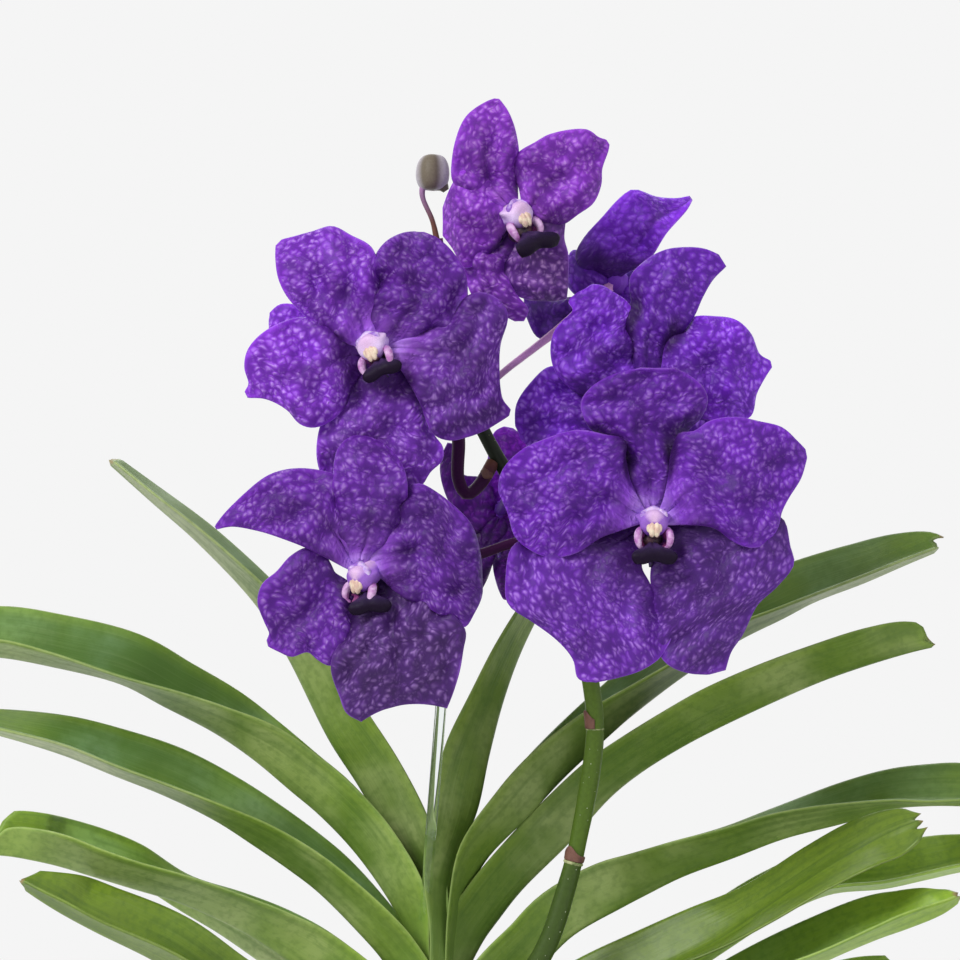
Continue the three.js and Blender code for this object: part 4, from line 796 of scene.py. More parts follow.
def leaf_finish(look):
    """Leathery strap leaf: fine lines along it, a pale margin, a darker line along the keel, and dry cut
    tips.
    """
    material, tree, shader = new_finish("leaf_finish", {
        "Specular IOR Level": 0.32, "Subsurface Weight": 0.05, "Subsurface Radius": (0.3, 0.6, 0.2),
        "Subsurface Scale": 0.001,
    })
    inner, rim, tone, tip, across, faded, base, light = marks_of(
        tree, "back", "rim", "tone", "tip", "across", "faded", "base", "light")
    place = object_place(tree)
    lines = noise(surface_place(tree, 0.025), 130, 3)
    bands = noise(surface_place(tree, 0.06), 26)
    broad = noise(place, 28, 3)
    clouds = broad.ranged(0.33, 0.62)
    lower = clouds.mixed(look.lower, look.keel)
    lower = (tip.ranged(130, 20, 0.55) * faded).mixed(lower, look.under)
    tissue = inner.mixed(lower, clouds.mixed(look.upper, look.shade))
    # Lime patches lie at random; the lime band along the margins and the brighter young green towards the tip
    # are painted highlights.
    lime = noise(place, 13).ranged(0.42, 0.68, 0.45) + rim.ranged(5, 1, 0.35)
    young = tone.ranged(0, 1) + tip.ranged(60, 6, 0.4)
    tissue = lime.math("MAXIMUM", young).mixed(tissue, look.young)
    tissue = lines.ranged(0.45, 0.8, 0.13).mixed(tissue, look.line)
    tissue = bands.ranged(0.46, 0.66, 0.4).mixed(tissue, look.shade)
    flecks = noise(place, 420, 4).ranged(0.42, 0.68, 0.3)
    tissue = flecks.mixed(tissue, look.shade)
    tissue = across.math("ABSOLUTE").ranged(0.05, 0, 0.35).mixed(tissue, look.shade)
    tissue = base.ranged(50, 22, 0.55).mixed(tissue, look.pale)
    tissue = rim.ranged(0.5, 0.12, 0.3).mixed(tissue, look.margin)
    tissue = lightened(tissue, light + 1)
    ragged = tip + noise(place, 300, 3) * 6.0
    fill(shader, {
        "Base Color": ragged.ranged(5.2, 3.4).mixed(tissue, look.dry),
        "Roughness": broad * 0.25 + 0.3,
        "Normal": bumped(lines + noise(place, 900) * 0.25, 0.0003, 0.35),
    })
    return material


def mottled(name, light, dark, scale, roughness=0.5, bump_depth=0.0003, sockets=None):
    """Plant skin of two colours that run into each other, with a fine grain."""
    material, tree, shader = new_finish(name, sockets or {})
    place = object_place(tree)
    clouds = noise(place, scale, 4, 0.3)
    fine = noise(place, 12 * scale)
    skin = clouds.ranged(0.35, 0.65).mixed(light, dark)
    fill(shader, {
        "Base Color": fine.ranged(0.55, 0.8, 0.3).mixed(skin, light),
        "Roughness": fine * 0.2 + (roughness - 0.1),
        "Normal": bumped(clouds + fine, bump_depth, 0.6),
    })
    return material


def graded(name, stops, scale, roughness=0.45, bump_depth=0.0002, shine=0.22):
    """Stalk skin whose colour changes along the stalk: stops are (share of its length, colour)."""
    material, tree, shader = new_finish(name, {"Specular IOR Level": shine})
    place = object_place(tree)
    clouds = noise(place, scale, 3, 0.4)
    along, = marks_of(tree, "along")
    blend = add_node(tree, "ShaderNodeValToRGB", {0: along + (clouds - 0.5) * 0.12})
    ramp = blend.socket.node.color_ramp
    while len(ramp.elements) < len(stops):
        ramp.elements.new(0.5)
    for element, (share, colour) in zip(ramp.elements, stops):
        element.position = share
        element.color = (*colour, 1)
    fine = noise(place, 10 * scale)
    fill(shader, {
        "Base Color": lightened(blend, fine * 0.5 + 0.75),
        "Roughness": fine * 0.2 + (roughness - 0.1),
        "Normal": bumped(clouds + fine * 0.5, bump_depth, 0.6),
    })
    return material


def glass_finish(name, look):
    """Clear glass that lets light through to what stands behind and inside it."""
    material, tree, shader = new_finish(name, {
        "Base Color": look.glass, "Transmission Weight": 1, "Roughness": 0, "IOR": 1.46,
    })
    ray = add_node(tree, "ShaderNodeLightPath", output="Is Shadow Ray")
    clear = add_node(tree, "ShaderNodeBsdfTransparent", {"Color": look.glass})
    both = add_node(tree, "ShaderNodeMixShader", {
        0: ray.math("MAXIMUM", ray.beside("Is Diffuse Ray")), 1: Value(shader.outputs[0]), 2: clear})
    fill(tree.nodes["Material Output"], {"Surface": both})
    return material


# ---- Sizes and colours that a user would change ----
def colour(description, *screen):
    """A colour property whose default is given by its screen values."""
    return FloatVectorProperty(description=description, subtype="COLOR", size=3, min=0, max=1,
                               default=linear(*screen))


def length(description, metres):
    return FloatProperty(description=description, subtype="DISTANCE", unit="LENGTH", min=0, precision=5,
                         default=metres)


def strength(description, value):
    return FloatProperty(description=description, min=0, default=value)


class FlowerLook(bpy.types.PropertyGroup):
    """Sizes and colours of the flowers."""
    tepal_thickness: length("Thickness of a tepal's middle", 0.9 * MM)
    spot_pitch: length("Distance between the pale spots", 2.6 * MM)
    spot_strength: strength("How far the spots cover the violet, up to 1", 0.64)
    blade: colour("Violet of a tepal near its margins", 117, 44, 196)
    deep: colour("Darker violet of a tepal's middle", 90, 32, 152)
    net: colour("Dark lines between the spots", 56, 15, 110)
    spot: colour("Pale spots", 180, 134, 234)
    throat: colour("Streaks on the tepals' bases", 150, 82, 222)
    heart: colour("Tepal bases close to the column", 196, 152, 240)
    # A greyer, duller violet painted as shade over tepals that lie in shade.
    dusk: colour("Greyer, duller violet", 66, 46, 84)
    # Dark violet painted as shade in the tepals' folds, tucks and round the lip.
    crease: colour("Dark folds near the tepals' bases", 38, 12, 62)
    rim: colour("Thin pale line along a tepal's margin", 150, 96, 206)
    back: colour("Back of a tepal", 168, 128, 196)
    column: colour("Column", 152, 102, 202)
    # Painted shade on the column's underside.
    column_underside_shade: colour("Darker parts of the column", 104, 56, 152)
    hood: colour("Pale hood over the column", 228, 204, 246)
    anther: colour("Anther cap", 248, 230, 204)
    anther_shade: colour("Darker parts of the anther cap", 220, 184, 168)
    lobe: colour("Side lobes of the lip", 226, 188, 230)
    lobe_shade: colour("Darker parts of the side lobes", 180, 108, 184)
    mouth: colour("Inside of the lip between its side lobes", 150, 52, 128)
    slit: colour("Hollow below the anther cap", 74, 30, 48)
    lip: colour("Lip", 62, 42, 84)
    # The lip's darkest colour also serves as painted shade on its base, front and underside, and its greyer
    # ridge colour is a painted sheen.
    lip_shade: colour("Darkest parts of the lip", 26, 14, 36)
    lip_sheen: colour("Greyer ridge across the lip's front", 44, 32, 62)


class StalkLook(bpy.types.PropertyGroup):
    """Colours of the stalks, their bracts and the bud."""
    green: colour("Upper flower stalk", 76, 100, 30)
    dark_green: colour("Lower flower stalk", 60, 80, 30)
    # Near-black green painted as shade on the flower stalk among the flowers.
    stalk_shadow_green: colour("Flower stalk between the flowers", 30, 40, 22)
    purple: colour("Stalks near the flowers", 110, 62, 92)
    dark_purple: colour("Thick stalks close to the flowers", 58, 20, 60)
    pale: colour("Pale streaks on the stalks", 156, 120, 158)
    lilac: colour("Palest stalks", 204, 146, 206)
    bract: colour("Bracts", 80, 42, 42)
    bract_edge: colour("Lighter parts of the bracts", 112, 74, 60)
    collar: colour("Pale rings under the bracts", 186, 190, 138)
    bud: colour("Bud", 192, 186, 194)
    bud_shade: colour("Darker parts of the bud", 114, 104, 90)
    speck: colour("Pale specks on the flower stalk", 196, 206, 170)


class LeafLook(bpy.types.PropertyGroup):
    """Sizes and colours of the leaves and the stem."""
    thickness: length("Thickness of a leaf's halves", 1.2 * MM)
    keel_thickness: length("Thickness of a leaf at its keel", 2.0 * MM)
    upper: colour("Inner face of a leaf", 106, 138, 92)
    shade: colour("Darker parts of a leaf", 70, 102, 36)
    lower: colour("Outer face of a leaf", 152, 168, 106)
    under: colour("Outer face near a leaf's tip", 196, 200, 170)
    keel: colour("Outer face near the keel", 96, 124, 46)
    young: colour("Brighter, younger leaves", 120, 148, 42)
    pale: colour("Paler bases of the leaves", 116, 144, 74)
    line: colour("Fine lines along a leaf", 140, 160, 104)
    margin: colour("Thin pale line along a leaf's margin", 158, 174, 106)
    dry: colour("Dry cut ends of the leaves", 150, 132, 84)
    sheath: colour("Old sheaths on the stem", 138, 140, 96)
    sheath_shade: colour("Darker parts of the sheaths", 104, 92, 62)
    root: colour("Silvery skin of the roots", 176, 182, 160)
    root_shade: colour("Green that shows through the roots' skin", 118, 138, 86)


class VaseLook(bpy.types.PropertyGroup):
    """Sizes and colour of the glass vase."""
    wall: length("Thickness of the wall", 4.0 * MM)
    foot: length("Thickness of the foot", 9.0 * MM)
    rounding: length("Radius of the rim's edges", 1.6 * MM)
    sides: IntProperty(description="Facets round the vase", min=24, max=256, default=144)
    glass: colour("Glass", 246, 251, 249)


class StageLook(bpy.types.PropertyGroup):
    """Floor, light and camera."""
    floor: colour("Floor", 243, 243, 243)
    backdrop: colour("What is seen past the floor", 245, 245, 245)
    floor_radius: length("Radius of the floor", 3.2)
    soft_light: strength("Light from all sides", 0.37)
    key_light: strength("Light from the upper left front", 2.25)
    fill_light: strength("Light from the right", 0.6)
    back_light: strength("Light from behind", 0.8)
    camera_distance: length("How far the camera stands from the stem", 10)
    view_width: length("Width of the view at the stem", 0.3264)


LOOKS = {
    "orchid_flowers": FlowerLook,
    "orchid_stalks": StalkLook,
    "orchid_leaves": LeafLook,
    "orchid_vase": VaseLook,
    "orchid_stage": StageLook,
}


# ---- Tepals ----
UV_UNIT = 0.1  # metres of surface for each unit of a piece's UV map
TUCK_PLACE = (0.22, 0.18)  # where along a tepal its margins tuck under its neighbours, and how far
TUCK_DEPTH = 0.55  # how far a tucked margin goes back, as a share of how far it reaches out
BASE_REACH = 0.25  # a tepal starts this share of the way from its flower's centre
TEPAL_GRID = (60, 46)  # points along and across a tepal
REAR_TEPAL_GRID = (34, 26)
EDGE_ROUNDING = 0.9 * MM
FLAP_START = 0.38  # where across a tepal its flap starts to fold forward, and how far that goes
FLAP_DEPTH = 9.0
SWELLS = 5  # broad waves that cross a tepal
FRONT = (0, -1, 0)
UP = (0, 0, 1)


def tepal_relief(along, across, xz, form, seed):
    """How far each point of a tepal stands back from its plain cupped shape, in millimetres."""
    rng = np.random.default_rng(seed)
    starts = rng.uniform(0, math.tau, 2)
    start = np.where(across < 0, starts[0], starts[1])
    window = np.sin(math.pi * np.clip(along, 0, 1)) ** 0.5
    relief = form["ruffle"] * np.abs(across) ** 2.5 * window
    relief = relief * np.sin(math.tau * form["ruffles"] * along + start)
    for _ in range(SWELLS):
        angle, turn = rng.uniform(0, math.tau, 2)
        wavelength = rng.uniform(8, 18)
        direction = np.array([math.cos(angle), math.sin(angle)])
        wave = np.sin(math.tau * (xz @ direction) / wavelength + turn)
        relief = relief + form["swell"] * wave * window
    relief = relief + form["groove"] * bump(across, 0, 0.09) * (1 - along**2)
    relief = relief - FLAP_DEPTH * form["flap"] * np.clip(across - FLAP_START, 0, 1) * window
    return relief + form["reflex"] * np.clip((np.abs(across) - 0.7) / 0.3, 0, 1) ** 2 * window


def tepal_middle(shape, centre, grid_size, form, seed):
    """The middle points of a tepal, in millimetres, with how far along it each lies, how much painted
    shade its creases get there, how near it is to a side and how light it is."""
    rows, columns = grid_size
    fractions = closer_at_the_ends(rows)
    left, right = (spaced([np.multiply(edge[0], BASE_REACH), *edge], fractions)
                   for edge in (shape.left, shape.right))
    along = fractions[:, None]
    outwards = (left - right) / np.maximum(norm(left - right, axis=1, keepdims=True), 1e-9)
    window = bump(along, *TUCK_PLACE)
    left_tuck, right_tuck = (reach * window for reach in shape.tuck)
    left, right = left + left_tuck * outwards, right - right_tuck * outwards
    across = closer_at_the_sides(columns)[None, :]
    share = (across[..., None] + 1) / 2
    xz = left[:, None] * (1 - share) + right[:, None] * share
    out = left[-1] + right[-1] - left[-2] - right[-2]
    dome = shape.tip_bulge * (1 - across**2) * along**4
    xz = xz + dome[..., None] * out / norm(out)
    base, middle, tip = shape.depth
    depth = base * (1 - along) * (1 - 2 * along) + middle * 4 * along * (1 - along)
    depth = depth + tip * along * (2 * along - 1)
    depth = depth - shape.cup * (1 - across**2) * np.sin(math.pi * along)
    tucked = left_tuck * np.clip(-across, 0, 1) ** 3 + right_tuck * np.clip(across, 0, 1) ** 3
    depth = depth + TUCK_DEPTH * tucked
    depth = depth + tepal_relief(along, across, xz, form, seed)
    grid = np.stack([xz[..., 0], depth, xz[..., 1]], axis=2) + centre
    edge = np.abs(across)
    # Painted shade where a margin tucks under its neighbour, along the sides near the base and down the
    # middle near the base.
    crease = np.maximum(smooth_step(0.3, 2.2, tucked),
                        0.8 * smooth_step(0.4, 1, edge) * smooth_step(0.6, 0.2, along))
    crease = np.maximum(crease, 0.4 * bump(across, 0, 0.2) * smooth_step(0.9, 0.3, along))
    # A flap that folds forward gets painted shade along its fold line, and beyond the fold it is painted
    # lighter, a painted highlight where it faces the light.
    fold = form["flap"] * smooth_step(0.1, 0.3, along)
    crease = np.maximum(crease, 0.6 * fold * bump(across, FLAP_START, 0.1))
    tone = form["tone"] + 0.3 * fold * smooth_step(FLAP_START, FLAP_START + 0.1, across)
    return grid, along, crease, edge, tone


def surface_map(grid, seed):
    """UVs that keep a grid's true sizes, moved so that no two pieces share one pattern."""
    middle = grid.shape[1] // 2
    width = np.cumsum(norm(np.diff(grid, axis=1, prepend=grid[:, :1]), axis=2), axis=1)
    run = lengths_along(grid[:, middle])[:, None]
    across = width - width[:, middle:middle + 1] + seed * UV_UNIT / 3
    return np.stack(np.broadcast_arrays(across, run), axis=2) / UV_UNIT


def tepal_piece(node, shape, flower, look, finish, seed):
    """One tepal as a thin closed sheet. A rear flower's tepals are coarser, and show no paler back."""
    rear = is_rear(flower)
    name, grid_size = (node, REAR_TEPAL_GRID) if rear else (f"{node}_blade", TEPAL_GRID)
    form = {**PLAIN_FORM, **shape.form}
    centre = FLOWERS[flower]["centre"]
    grid, along, crease, edge, tone = tepal_middle(shape, centre, grid_size, form, seed)
    # Tepals with a pale base keep it clear of painted shade; the others, such as the lateral sepals, are
    # painted dark near the base, painted shade round the lip.
    heart = 0.0 if "sepal_left" in name or "sepal_right" in name else form["heart"]
    if heart:
        crease = crease * smooth_step(0.08, 0.22, along)
    else:
        crease = np.maximum(crease, 0.9 * smooth_step(0.42, 0.2, along))
    # Painted shade in furrows along the sides of a narrow base.
    furrow_shade_band = smooth_step(0.3, 0.62, edge) * smooth_step(0.08, 0.2, along) * smooth_step(0.62, 0.4, along)
    crease = np.maximum(crease, 1.1 * form["furrow_shade"] * furrow_shade_band)
    grid = grid * MM
    paler_back = 0.0 if rear else 1.0
    marks = {"rim": border_distance(grid) / MM, "along": along, "crease": crease, "tone": tone,
             "dusk": form["dusk"], "heart": (heart * paler_back, heart), "back": (0, paler_back),
             "spotted": (form["spotted"], 1)}
    piece = sheet_piece(name, grid, normals_of(grid, FRONT), look.tepal_thickness, EDGE_ROUNDING, marks,
                        surface_map(grid, seed))
    settled(piece, "tepal", flower if rear else node, finish=finish)


# ---- Flower centres ----
# Where each column and lip stands from its flower's centre, in millimetres, and which way it looks:
# turned to the right, tipped down and rolled, in degrees.
COLUMN_PLACES = {
    "flower_1": ((2.8, 0, 1.1), (-38, 14, 8)), "flower_2": ((0.3, 0, 0.4), (4, 4, 0)),
    "flower_3": ((0.9, 0, 2.3), (-25, 6, -22)), "flower_4": ((0, 0, 0), (6, 4, 0)),
    "flower_5": ((-2.4, 0, 1.2), (36, -10, -15)), "rear_flower_1": ((0, 0, 0), (165, 0, 0)),
    "rear_flower_2": ((0, 2, 0), (180, 10, 0)), "rear_flower_3": ((0, 0, 0), (200, 0, 0)),
}
LIP_PLACES = {
    "flower_1": ((0.8, -1, 3), (2, 16, -6)), "flower_2": ((-0.5, 0, 0.6), (8, 4, 0)),
    "flower_3": ((-1.2, -1, 4.2), (-5, 8, -22)), "flower_5": ((-2.7, -1, 2.6), (30, -8, -17)),
}
LIP_SIZES = {"flower_1": 0.9, "flower_2": 0.96, "flower_3": 0.86, "flower_5": 1.06}
# Sections of the column from its foot to its apex: (y, z, half width, half height, overhang).
COLUMN_SECTIONS = [
    (2.5, -0.2, 2.4, 2.4, 0), (0.8, 0, 4.2, 4, 0), (-1.6, -0.3, 4.4, 4.3, 0.2),
    (-4, -0.7, 4.6, 4.4, 0.6), (-6.2, -1.1, 4.8, 4.6, 1.1), (-7.6, -1.3, 4.4, 4.2, 1.2),
    (-8.3, -1.5, 3.3, 3.2, 0.9), (-8.5, -1.6, 1.6, 1.6, 0.4),
]
COLUMN_SIDES = 60
# Its hood's radii from side to side, and the side lobe's path and radii from its foot to its tip.
HOOD_RADII = [0.4, 1.35, 0.85, 1.35, 0.85, 1.35, 0.4]
LOBE_PATH = [(3.2, -3, -2.8), (4.7, -5, -3.3), (5.4, -6.6, -4.8), (5.4, -7.5, -6.8), (4.7, -7.5, -8.6),
             (3.6, -7, -9.2)]
LOBE_RADII = [0.7, 1.1, 1.35, 1.3, 1, 0.4]
# The anther cap's two halves and their outer edges: (centre of the right one, radii).
ANTHERS = {"anther": ((0.8, -8.5, -2.9), (1.2, 1.2, 2.6)), "anther_edge": ((1.8, -8.1, -2.3), (0.9, 1, 1.6))}
SPUR_PATH = [(0, -1.5, -9), (0.1, -0.4, -11.5), (0.3, 0.4, -14.5), (0.4, 1.2, -17)]
# The lip's tongue from its base to its blunt front, which turns down: (forward, down, half width).
LIP_SECTIONS = [
    (2.5, 8.8, 2.6), (6, 9, 2.9), (9, 9.5, 4.4), (11.5, 10.3, 7.2), (12.8, 11.1, 8.1),
    (13.2, 12, 8.2), (12.8, 13.2, 7.6), (12.2, 14.2, 6.6),
]


def is_rear(flower):
    """Whether a flower is one of those that face away, which are one node each."""
    return flower.startswith("rear")


def node_of(flower, part):
    return flower if is_rear(flower) else f"{flower}_{part}"


def turned(centre, yaw, pitch, roll=0, size=1.0):
    """A function that sizes and turns a piece's own millimetres and puts them in place, in metres."""
    turn = np.array(Euler([math.radians(angle) for angle in (pitch, roll, yaw)]).to_matrix())
    return lambda points: (size * points @ turn.T + centre) * MM


def round_rings(radius, angle, height):
    """Rings round the Z axis."""
    rings = np.broadcast_arrays(radius * np.cos(angle), radius * np.sin(angle), height)
    return np.stack(rings, axis=2)


def ball_rings(centre, radii, rings=14, sides=20):
    """Rings of an ellipsoid from pole to pole along Y."""
    polar = np.linspace(0.06, math.pi - 0.06, rings)[:, None]
    angle = turn_in(sides)
    ball = [np.sin(polar) * np.cos(angle), np.cos(polar) + 0 * angle, np.sin(polar) * np.sin(angle)]
    return np.stack(ball, axis=2) * radii + centre


def tube_rings(path, radii, steps=22, sides=14, flat=1.0):
    """Rings round the smooth curve through path; flat squeezes them front to back."""
    fractions = np.linspace(0, 1, steps)
    points = spaced(path, fractions)
    widths = np.interp(fractions, np.linspace(0, 1, len(radii)), radii)[:, None, None]
    tangent = np.gradient(points, axis=0)
    tangent /= norm(tangent, axis=1, keepdims=True)
    sideways = np.cross(tangent, [0, 1, 0.02])
    sideways /= norm(sideways, axis=1, keepdims=True)
    forward = np.cross(sideways, tangent)
    angle = turn_in(sides)[:, None]
    ring = np.cos(angle) * sideways[:, None] + flat * np.sin(angle) * forward[:, None]
    return points[:, None] + widths * ring


def column_rings():
    """Rings of the column, which has a pointed wing on each side and shallow folds between them."""
    fractions = closer_at_the_ends(30, 0.7)
    y, z, wide, high, overhang = spaced(COLUMN_SECTIONS, fractions).T[..., None]
    angle = turn_in(COLUMN_SIDES)
    rise = np.sin(angle)
    wing = bump(rise, 0.4, 0.26) * bump(y, -3.6, 2)
    folds = 1 + 0.035 * np.cos(9 * angle) * bump(y, -2.5, 3)
    ridge = folds + 0.05 * bump(rise, 1, 0.25)
    x = wide * np.cos(angle) * (1 - 0.12 * np.clip(-rise, 0, 1)) * (folds + 0.42 * wing)
    return np.stack([x, y - overhang * rise, z + high * rise * ridge + 0.7 * wing], axis=2)


def arch(radius, y, z, start, end, flare=0.0):
    """Points of an arch over the column, as seen from the front; its ends lean forward by flare."""
    angles = np.radians(np.linspace(start, end, 7))
    return [(radius * math.cos(a), y - flare * abs(math.cos(a)), z + radius * math.sin(a)) for a in angles]


def column_pieces(name, place, finishes):
    """The column with its hood and lobed anther cap, and the side lobes of the lip."""
    def add(part, rings, finish):
        settled(ring_piece(f"{name}_{part}", place(rings)), "column", node_of(name, "column"),
                finish=finishes[finish])

    # How high round its section each point lies: the finish paints the column darker below, a painted shade,
    # and paler on top.
    rise = (np.sin(turn_in(COLUMN_SIDES)) + 1) / 2
    body = ring_piece(f"{name}_column_body", place(column_rings()), rise)
    settled(body, "column", node_of(name, "column"), finish=finishes["column"])
    hood = tube_rings(arch(4.3, -5.2, -0.5, 12, 168, 1.2), HOOD_RADII, steps=36, sides=16)
    add("column_hood", hood, "hood")
    for side, label in ((-1, "left"), (1, "right")):
        mirror = (side, 1, 1)
        for part, (centre, radii) in ANTHERS.items():
            add(f"{part}_{label}", ball_rings(np.multiply(centre, mirror), radii), "anther")
        lobe = tube_rings(np.multiply(LOBE_PATH, mirror), LOBE_RADII, steps=30, sides=18, flat=1.2)
        lobe = ring_piece(f"{name}_side_lobe_{label}", place(lobe))
        settled(lobe, "lip", node_of(name, "lip"), finish=finishes["lobe"])
        flap = place(side_flap(side))
        flap = sheet_piece(f"{name}_side_flap_{label}", flap, normals_of(flap), 0.8 * MM, 0.6 * MM)
        settled(flap, "lip", node_of(name, "lip"), finish=finishes["throat"])
    add("column_slit", ball_rings((0, -7.9, -5.2), (2, 0.9, 0.7), rings=8, sides=14), "slit")


def side_flap(side, rows=16, columns=12):
    """The inner wall of a side lobe, from the lip's throat out to the lobe's rim."""
    angle = np.radians(60 - 150 * closer_at_the_ends(rows)[:, None])
    t = closer_at_the_ends(columns)[None, :]
    radius = 1.3 + 2.4 * t
    x = side * (2.1 + radius * np.cos(angle))
    return np.stack([x, -3.4 - 3.4 * t**0.7 + 0 * x, -6.4 + 1.2 * radius * np.sin(angle)], axis=2)


def lip_grid(rows=44, columns=35):
    """Middle points of the lip's tongue: it widens to two blunt lobes and has keels down its middle."""
    s = closer_at_the_ends(rows)
    u = closer_at_the_sides(columns)
    forward, down, half = spaced(LIP_SECTIONS, s).T[..., None]
    s = s[:, None]
    keels = 0.8 * (bump(u, -0.3, 0.16) + bump(u, 0.3, 0.16)) * smooth_step(0.85, 0.5, s)
    low = (0.3 + 0.5 * s) * u**2 + 0.7 * bump(np.abs(u), 0.6, 0.35) * smooth_step(0.6, 1, s)
    forward = forward - 1.6 * u**2 * s - 0.6 * bump(u, 0, 0.3) * smooth_step(0.5, 0.8, s)
    grid = np.stack(np.broadcast_arrays(half * u, -forward, keels - down - low), axis=2)
    return grid, s


def lip_pieces(name, place, finishes):
    """The lip's dark tongue, the mouth between its side lobes and the spur behind it."""
    grid, along = lip_grid()
    grid = place(grid)
    tongue = sheet_piece(f"{name}_lip_tongue", grid, normals_of(grid, UP), 1.2 * MM, MM,
                         {"along": (along, 1)})
    # The mouth is the lip's base under the column; its own dark brown is mottled with near black, painted
    # shade of the hollow under the lip.
    mouth = ring_piece(f"{name}_lip_mouth", place(ball_rings((0, -3, -7.6), (4.3, 3, 3))))
    spur = ring_piece(f"{name}_lip_spur", place(tube_rings(SPUR_PATH, [2.2, 1.3, 0.9, 0.5], flat=0.9)))
    for piece, finish in ((tongue, "lip"), (mouth, "throat"), (spur, "spur")):
        settled(piece, "lip", node_of(name, "lip"), finish=finishes[finish])


# ---- Stalks ----
PEDUNCLE_PATH = [
    (5, -8, 262), (21.5, -20, 276.5), (35, -27, 291), (44.5, -30, 317), (50.5, -32, 344.5),
    (53.5, -34, 366.5), (52.5, -35, 382), (48, -35, 402), (39.5, -34, 424.5), (29, -32, 446.5),
    (19, -30, 463.5), (11, -28, 480.5), (6, -26, 501), (2.5, -25, 519.5), (0.5, -24, 535),
]
PEDUNCLE_RADII = [3.6, 3.6, 3.5, 3.4, 2.9, 3.3, 3, 2.9, 2.7, 2.6, 2.5, 2.3, 2.2, 2, 1.6]
STALK_NODE_RADIUS = 2.85  # the flower stalk's where its bracts clasp it
COLLAR_DROP = 0.006  # how far below its bract a collar sits, as a share of the stalk's length
BUD_PATH = [(0.5, -24, 532), (-1.5, -24, 541), (-5, -24, 550), (-4, -24, 556)]
BUD_CENTRE = (-1.5, -24, 557.5)
BUD_RADIUS = 5.4
BUD_HALF_HEIGHT = 6.1
BUD_SIDES = 48
BUD_SPUR_PATH = [(2, 0, -3.6), (3.6, 0.2, -4.8), (4.6, 0.4, -6.2)]
PEDICEL_RADII = [1.5, 1.35, 1.4, 1.7, 2.1, 2.2]
COLUMN_FOOT = 3  # how far behind its flower's centre a column starts
# A clear support rod from the middle of the fan up to the lowest flower's own stalk.
ROD_ENDS = [(-4.4, -8, 304), (5.2, -49, 425)]
ROD_RADIUS = 1.9
# Bracts at the flower stalk's nodes: share of its length, side that the tip is on and how far round
# the stalk each half reaches, in degrees, its height, and how thick the pale ring under it is.
STALK_BRACTS = {"peduncle_bract_1": (0.272, 50, 172, 5, 0.6), "peduncle_bract_2": (0.424, 25, 64, 6.5, 0.35)}
# How the pale specks lie on the flower stalk: how many to the square metre at most, and their sizes.
SPECKS = {"Density": 60000.0, "Spacing": 2.4 * MM, "Size": 0.16 * MM, "Length": 1.6, "Seed": 4}


def frame_at(path, share):
    """A point of the curve, and its direction and two directions square to it."""
    near = spaced(path, [max(share - 0.005, 0), share, min(share + 0.005, 1)])
    along = near[2] - near[0]
    along /= norm(along)
    right = np.cross([0, -1, 0], along)
    right /= norm(right)
    return near[1], along, right, np.cross(along, right)


def bract_piece(name, path, share, radius, height, reach, turn, finish, spread=165.0):
    """A sheath that clasps a stalk at its node and ends in a pointed tip on one side."""
    point, along, right, front = frame_at(path, share)
    angle = np.radians(np.linspace(-spread, spread, 41))
    s = closer_at_the_ends(16)[:, None]
    rise = height * (0.45 + 0.55 * bump(angle, 0, 0.75)) * s - 0.25 * height
    out = radius + 0.35 + reach * s**2 * (0.3 + 0.7 * bump(angle, 0, 0.8))
    facing = angle + math.radians(turn)
    grid = (point + rise[..., None] * along
            + (out * np.cos(facing))[..., None] * right + (out * np.sin(facing))[..., None] * front) * MM
    settled(sheet_piece(name, grid, normals_of(grid), 0.55 * MM, 0.5 * MM), "peduncle", finish=finish)


def collar_piece(name, path, share, radius, thickness, finish, sides=40, around=12):
    """A raised ring round a stalk."""
    point, along, right, front = frame_at(path, share)
    turn = turn_in(sides)[:, None, None]
    angle = turn_in(around)[:, None]
    out = radius + thickness * np.cos(angle)
    grid = point + out * (np.cos(turn) * right + np.sin(turn) * front) + thickness * np.sin(angle) * along
    index = looped_index(sides, around)
    quads = grid_quads(np.concatenate([index, index[:1]]))
    settled(closed_piece(name, grid.reshape(-1, 3) * MM, [quads]), "peduncle", finish=finish)


def bud_rings():
    """A blunt block with rounded ends and four soft ridges where its sepals meet."""
    polar = np.linspace(0.04, math.pi - 0.04, 30)[:, None]
    angle = turn_in(BUD_SIDES)
    ridges = 1 + 0.07 * np.cos(4 * angle + 0.9) + 0.015 * np.cos(9 * angle)
    belly = BUD_RADIUS * np.sin(polar) ** 0.55 * (1 + 0.04 * np.cos(polar)) * ridges
    return round_rings(belly, angle, -BUD_HALF_HEIGHT * np.cos(polar))


# ---- Leaves ----
LEAF_GRID = (96, 50)
LEAF_HALF_WIDTH = 17.5  # from the keel to a margin
TIP_HALF_WIDTH = 7  # the same at the tip, and how much it grows for each millimetre from there
TIP_TAPER = 0.45
LEAST_SPREAD = 1.4  # how far a margin stands in front of the keel or behind it at least
SHEATH_DEPTH = 3.6  # and at most at the leaf's foot, and how much that grows for each millimetre
SHEATH_FLARE = 0.15
SHEATH_TOP = 276.5  # the outer sheaths, which start lower, reach further round the stem
SHEATH_NEST = 0.09
KEEL_ROUNDING = 0.16  # as a share of a half's width
LEAF_ROUNDING = 1.1 * MM
LEAF_WAVES = ((70, 0.7), (33, 0.35), (17, 0.16))  # wavelength and height of a blade's soft waves


